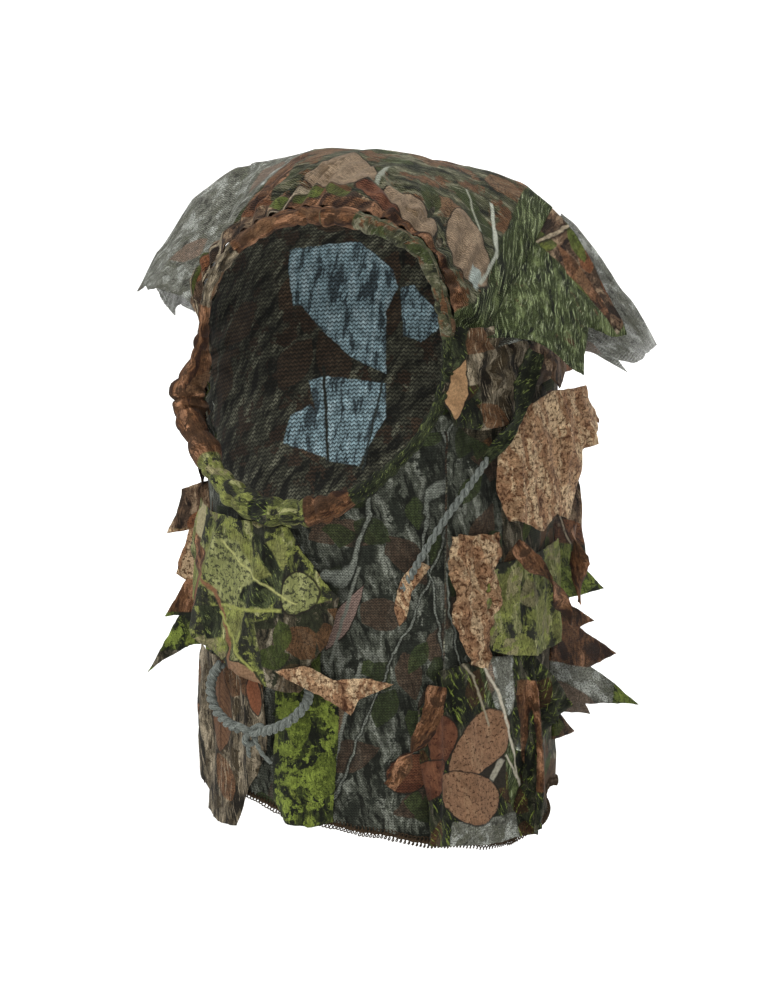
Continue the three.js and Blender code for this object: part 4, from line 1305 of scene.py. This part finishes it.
def settle(cuts, frames=24):
    """Hangs each flap by its sewn edge over a form of its own and lets it fall into folds."""
    scene = bpy.context.scene
    hanging, made = {}, []
    for node, cut in cuts.items():
        low, high = cut["flat"].min(0) - 0.02, cut["flat"].max(0) + [0.02, 0.004]
        flat = np.column_stack(net((low[0], high[0]), (high[1], low[1]), 30, 30))
        stand = flap_stand(cut["shape"], flat, cut["top"], cut["drop"]) * 0.8 - 0.0022
        form = mesh_object("form_" + node, wall_place(flat, stand), grid_faces(30, 30).tolist(), [])
        group = bpy.data.collections.new("form_" + node)
        group.objects.link(form)
        form.modifiers.new("collision", "COLLISION")
        form.collision.thickness_outer = 0.001
        cloth = mesh_object("hanging_" + node, cut["middle"], cut["faces"], [])
        pins = cloth.vertex_groups.new(name="pins")
        pins.add([int(i) for i in np.flatnonzero(cut["top"] - cut["flat"][:, 1] < 0.005)], 1.0, "REPLACE")
        modifier = cloth.modifiers.new("cloth", "CLOTH")
        settings, touch = modifier.settings, modifier.collision_settings
        settings.quality = 7
        settings.mass = 0.05
        settings.air_damping = 3
        settings.tension_stiffness = settings.compression_stiffness = 12
        settings.shear_stiffness = 5
        settings.bending_stiffness = 0.02
        settings.vertex_group_mass = "pins"
        settings.shrink_min = -cut["shape"]["grow"]
        touch.distance_min = 0.001
        touch.use_self_collision = False
        touch.collection = group
        modifier.point_cache.frame_end = frames
        hanging[node] = cloth
        made += [form, cloth]
    for frame_number in range(1, frames + 1):
        scene.frame_set(frame_number)
    depsgraph = bpy.context.evaluated_depsgraph_get()
    for node, cloth in hanging.items():
        mesh = cloth.evaluated_get(depsgraph).data
        points = np.zeros(len(mesh.vertices) * 3)
        mesh.vertices.foreach_get("co", points)
        cuts[node]["middle"] = points.reshape(-1, 3)
    for thing in made:
        bpy.data.objects.remove(thing)
    for group in [c for c in bpy.data.collections if c.name.startswith("form_")]:
        bpy.data.collections.remove(group)
    scene.frame_set(1)


def flaps(materials):
    cuts = {node: cut_flap(node, shape) for node, shape in FLAPS.items()}
    settle({node: cut for node, cut in cuts.items() if cut["shape"]["grow"]})
    for node, cut in cuts.items():
        shape, flat, middle = cut["shape"], cut["flat"], cut["middle"]
        if shape["fluff"]:
            tufts = noise3(cut["where"], 0.0045, 75) + 0.6 * noise3(cut["where"], 0.0025, 77)
            middle = middle + (tufts * 0.0028 + 0.002)[:, None] * unit(middle * [1, 1, 0])
        piece = two_sided(node + "_cloth", middle, cut["faces"], flat, materials[shape["fabric"]],
                          outward=middle * [1, 1, 0])
        hinged = shape["hinge"] is not None
        dress(piece, node, None if hinged else shape["body"])
        if hinged:
            hinge = shape["hinge"] * MM
            hinge + 0.001
            hinge - 0.012
            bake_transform(piece)
        declare_sheet(piece, cut["outline"], ["hood_left" if flat[:, 0].mean() < 0 else "hood_right"])


# The fringes' cut edges, as (millimetres below the crown, width).
RIGHT_TEETH = [
    (182, 10), (200, 16), (228, 18), (255, 22), (266, 33), (275, 11), (277, 5), (288, 28), (294, 19),
    (307, 43), (312, 36), (318, 27), (326, 40), (338, 56), (340, 40), (342, 28), (343, 21), (350, 24),
    (351, 4), (363, 15), (370, 2),
]
LEFT_TEETH = [
    (206, 8), (211, 27), (228, 32), (240, 39), (238, 22), (258, 30), (267, 32), (272, 25), (296, 41),
    (295, 30), (312, 41), (334, 54), (326, 44), (321, 33), (316, 23), (314, 9), (328, 10), (332, 3),
]


def fringe(node, seam, heading, teeth, material):
    """A leaf-cut strip that stands out from a seam down the hood wall."""
    outline = [(0, -teeth[0][0] * MM), (0, -teeth[-1][0] * MM)]
    outline += [(width * MM, -depth * MM) for depth, width in teeth[::-1]]
    flat, faces = cut_cloth(outline, 0.0020, 0.0004)
    side = 1 if seam > 0 else -1
    way = math.radians(heading)
    out = np.array([math.sin(way), -math.cos(way), -0.12])
    face = np.array([math.cos(way), math.sin(way), 0]) * side
    angle = np.full(len(flat), math.radians(seam))
    root = hood_point(angle, flat[:, 1], hood_relief(angle, flat[:, 1]))
    where = np.column_stack([flat, np.full(len(flat), side * 0.3)])
    bend = noise3(where / [1, 1.6, 1], 0.02, 81) * 0.005 + noise3(where, 0.009, 83) * 0.0012
    bend *= smooth(flat[:, 0] / 0.02)
    middle = root + flat[:, :1] * out + bend[:, None] * face
    piece = two_sided(node + "_cloth", middle, faces, flat, material, outward=-face)
    dress(piece, node, None)
    start = hood_point(np.array(math.radians(seam)), np.array(-0.27), 0.002)
    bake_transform(piece)
    declare_sheet(piece, outline, ["hood_right" if side > 0 else "hood_left"])


def ribbon(name, route, widths, turns, material, cup):
    """A narrow strip of cloth along a route of (degrees, millimetres, stand), turned about its line."""
    line = spline(on_hood(route), 90)
    side, out = line_frame(line)
    s = np.linspace(0, 1, len(line))
    angle = np.radians(np.interp(s, np.linspace(0, 1, len(turns)), turns))
    width = np.interp(s, np.linspace(0, 1, len(widths)), widths) * MM
    across = np.linspace(-0.5, 0.5, 9)
    ragged = 1 + 0.10 * noise3(np.stack([s * 0.1, s * 0, s * 0], -1), 0.004, 91)
    turned = np.cos(angle)[:, None] * side + np.sin(angle)[:, None] * out
    normal = -np.sin(angle)[:, None] * side + np.cos(angle)[:, None] * out
    offsets = across[None, :] * (width * ragged)[:, None]
    bow = cup * MM * (across[None, :] * 2) ** 2
    middle = line[:, None] + offsets[..., None] * turned[:, None] + bow[..., None] * normal[:, None]
    length = along_line(line)
    cloth = np.stack([offsets.ravel(), np.repeat(length, 9)], -1)
    piece = two_sided(name, middle.reshape(-1, 3), grid_faces(8, len(line) - 1), cloth, material)
    return piece, (float(width.mean()), float(length[-1]))


def spline(knots, count):
    """A smooth line through the knots."""
    padded = np.concatenate([[2 * knots[0] - knots[1]], knots, [2 * knots[-1] - knots[-2]]])
    spans = len(knots) - 1
    t = np.linspace(0, spans, count)
    i = np.minimum(t.astype(int), spans - 1)
    f = (t - i)[:, None]
    p0, p1, p2, p3 = (padded[i + k] for k in range(4))
    square, cube = 2 * p0 - 5 * p1 + 4 * p2 - p3, 3 * p1 - p0 - 3 * p2 + p3
    return 0.5 * (2 * p1 + (p2 - p0) * f + square * f**2 + cube * f**3)


RIBBONS = {
    "twist_strip_a": ([(68, -222, 13), (76, -238, 15), (84, -254, 16), (90, -270, 16), (96, -284, 15)],
                      [9, 13, 12, 10, 5], [0, 50, 150, 230, 330], "rust", "twist_strips", "leaf_brown"),
    "twist_strip_b": ([(94, -222, 18), (97, -240, 20), (97, -256, 21), (98, -272, 21)],
                      [12, 14, 10, 5], [0, -60, -150, -210], "rust", "twist_strips", "leaf_brown"),
    "curled_strip": ([(43, -303, 11), (41, -322, 12.5), (37, -338, 14), (33, -350, 15), (29, -363, 16)],
                     [12, 13, 11, 10, 8], [0, 0, 55, 190, 200], "rust", "curl", "leaf_brown"),
}


def strips_and_ties(materials, thread):
    for node, (route, widths, turns, fabric, body, slot) in RIBBONS.items():
        piece, flat = ribbon(node + "_cloth", route, widths, turns, materials[fabric], cup=1.0)
        dress(piece, node, body)
    route = [(74, -104, 15), (70, -124, 15), (66, -145, 15), (58, -168, 12)]
    widths, turns = [15, 15, 12, 6], [0, 25, -30, 60]
    piece, flat = ribbon("tie_strap_cloth", route, widths, turns, materials["tie"], cup=2.2)
    dress(piece, "tie_strap", "hood")

    route = [(58.5, -166, 12), (52, -184, 10), (45, -203, 8), (38, -226, 7), (33.5, -243, 6)]
    for index in range(2):
        piece, _ = strand(f"tie_cord_strand_{index}", route, 0.0013, 0.0012, 9, thread, index)
        dress(piece, None if index else "tie_cord", "hood")


def strand(name, route, radius, offset, turns, material, index):
    """One strand of a two-strand twist about the route, and the route's own line."""
    line = spline(on_hood(route), 140)
    side, out = line_frame(line)
    s = np.linspace(0, 1, len(line))
    angle = 2 * math.pi * turns * s + index * math.pi
    path = line + offset * (np.sin(angle)[:, None] * out - np.cos(angle)[:, None] * side)
    fuzz = 1 + 0.12 * noise3(path, 0.003, 95 + index)
    return tube_mesh(name, path, radius * fuzz, 10, material, guide=line * [1, 1, 0]), line


CORDS = {
    "drawcord_left": [(-29, -300.2, 9), (-31, -307, 12), (-30.5, -315, 15), (-27, -324, 18), (-21, -330, 20),
                      (-15.2, -333, 21)],
    "drawcord_right": [(5, -300.2, 9), (6, -306, 12), (5.4, -313, 15), (2, -322, 18), (-2.4, -328, 20),
                       (-6.4, -331.6, 21)],
    "drawcord_tail_left": [(-11.6, -337, 21), (-11.8, -344, 20), (-12.2, -350, 18)],
    "drawcord_tail_right": [(-9.2, -336.5, 21), (-7.4, -345, 20), (-5, -352, 17)],
}
CORD_TWIST, TAIL_TWIST = (0.0018, 0.0015, 6), (0.0009, 0.0006, 2)  # strand radius, offset, turns


def merged(name, parts):
    """Joins meshes into the first one."""
    bpy.ops.object.select_all(action="DESELECT")
    for part in parts:
        part.select_set(True)
    bpy.context.view_layer.objects.active = parts[0]
    bpy.ops.object.join()
    parts[0].name = name
    parts[0].data.name = name
    return parts[0]


def drawcord(thread):
    """Two twisted cords that meet in a knot, with one short tail each."""
    cords = {}
    for node, route in CORDS.items():
        twist = TAIL_TWIST if "tail" in node else CORD_TWIST
        pair = [strand(f"{node}_strand_{i}", route, *twist, thread, i) for i in range(2)]
        piece = merged(node + "_yarn", [p[0] for p in pair])
        dress(piece, node, "drawcord")
        cords[node] = (piece, pair[0][1])
    at = hood_point(np.radians(-10.8), -0.3336, 0.021)
    t = np.linspace(0, 2 * math.pi, 160, endpoint=False)
    loop = np.stack([0.0045 * (np.sin(t) + 1.1 * np.sin(2 * t)), 0.0026 * -np.sin(3 * t),
                     0.0034 * (np.cos(t) - 1.1 * np.cos(2 * t))], -1)
    knot = tube_mesh("drawcord_knot_yarn", loop + at, KNOT_STRAND, 10, thread, closed=True,
                     guide=np.tile([0.3, 1.0, 0.2], (160, 1)))
    dress(knot, "drawcord_knot", "drawcord")
    tails = [cords["drawcord_tail_left"][0], cords["drawcord_tail_right"][0]]
    for node, pieces in (("drawcord_left", [knot, *tails]), ("drawcord_right", [])):
        piece, line = cords[node]


def gathers(materials):
    """Bunched cloth beside the opening, in deep upright folds, and the drawcord's short tunnel."""
    outline = cloth_outline([
        (50, -86), (46, -104), (45, -126), (48, -144), (58, -150), (70, -146), (76, -130), (75, -100),
        (66, -88),
    ])
    flat, faces = cut_cloth(outline, 0.0017)
    where = np.column_stack([flat, np.zeros(len(flat))])
    folds = crumple(where / [1, 1.5, 1], 0.015, 101) * 0.0042 + noise3(where, 0.006, 103) * 0.0014
    middle = wall_place(flat, 0.0065 + folds)
    piece = two_sided("gather_tab_cloth", middle, faces, flat, materials["bunched"],
                      outward=middle * [1, 1, 0])
    dress(piece, "gather_tab", "hood")
    declare_sheet(piece, outline, ["hood_right"])

    outline = cloth_outline([(-32, -284), (-32, -297.5), (8, -297.5), (8, -284)])
    flat, faces = cut_cloth(outline, 0.002)
    where = np.column_stack([flat, np.zeros(len(flat))])
    ridge = np.sin((flat[:, 1] + 0.2975) / 0.0135 * math.pi) * 0.0025
    middle = wall_place(flat, 0.0045 + ridge + noise3(where, 0.006, 105) * 0.0008)
    piece = two_sided("neck_casing_cloth", middle, faces, flat, materials["bark"],
                      outward=middle * [1, 1, 0])
    dress(piece, "neck_casing", "hood")
    declare_sheet(piece, outline, ["hood_front"])


def main():
    add_camera()
    thread = thread_material("yarn", rgb("7d827b"), rgb("2c2f2d"))
    drawcord(thread)
    materials = build_materials()
    for side in (-1, 1):
        hood_side(side, materials)
    hood_front(materials)
    rim_casing(materials["rim"], thread_material("elastic", rgb("2a2a28"), rgb("0e0e0d")))
    hem_thread = thread_material("overlock", rgb("4a3a28"), rgb("17130d"))
    centre_seam(materials["bark"], hem_thread)
    hem_binding(hem_thread)
    brim(materials)
    flaps(materials)
    fringe("right_fringe", 112, 106, RIGHT_TEETH, materials["streamers"])
    fringe("left_fringe", -80, -96, LEFT_TEETH, materials["tips"])
    strips_and_ties(materials, thread)
    gathers(materials)
    add_studio()


main()
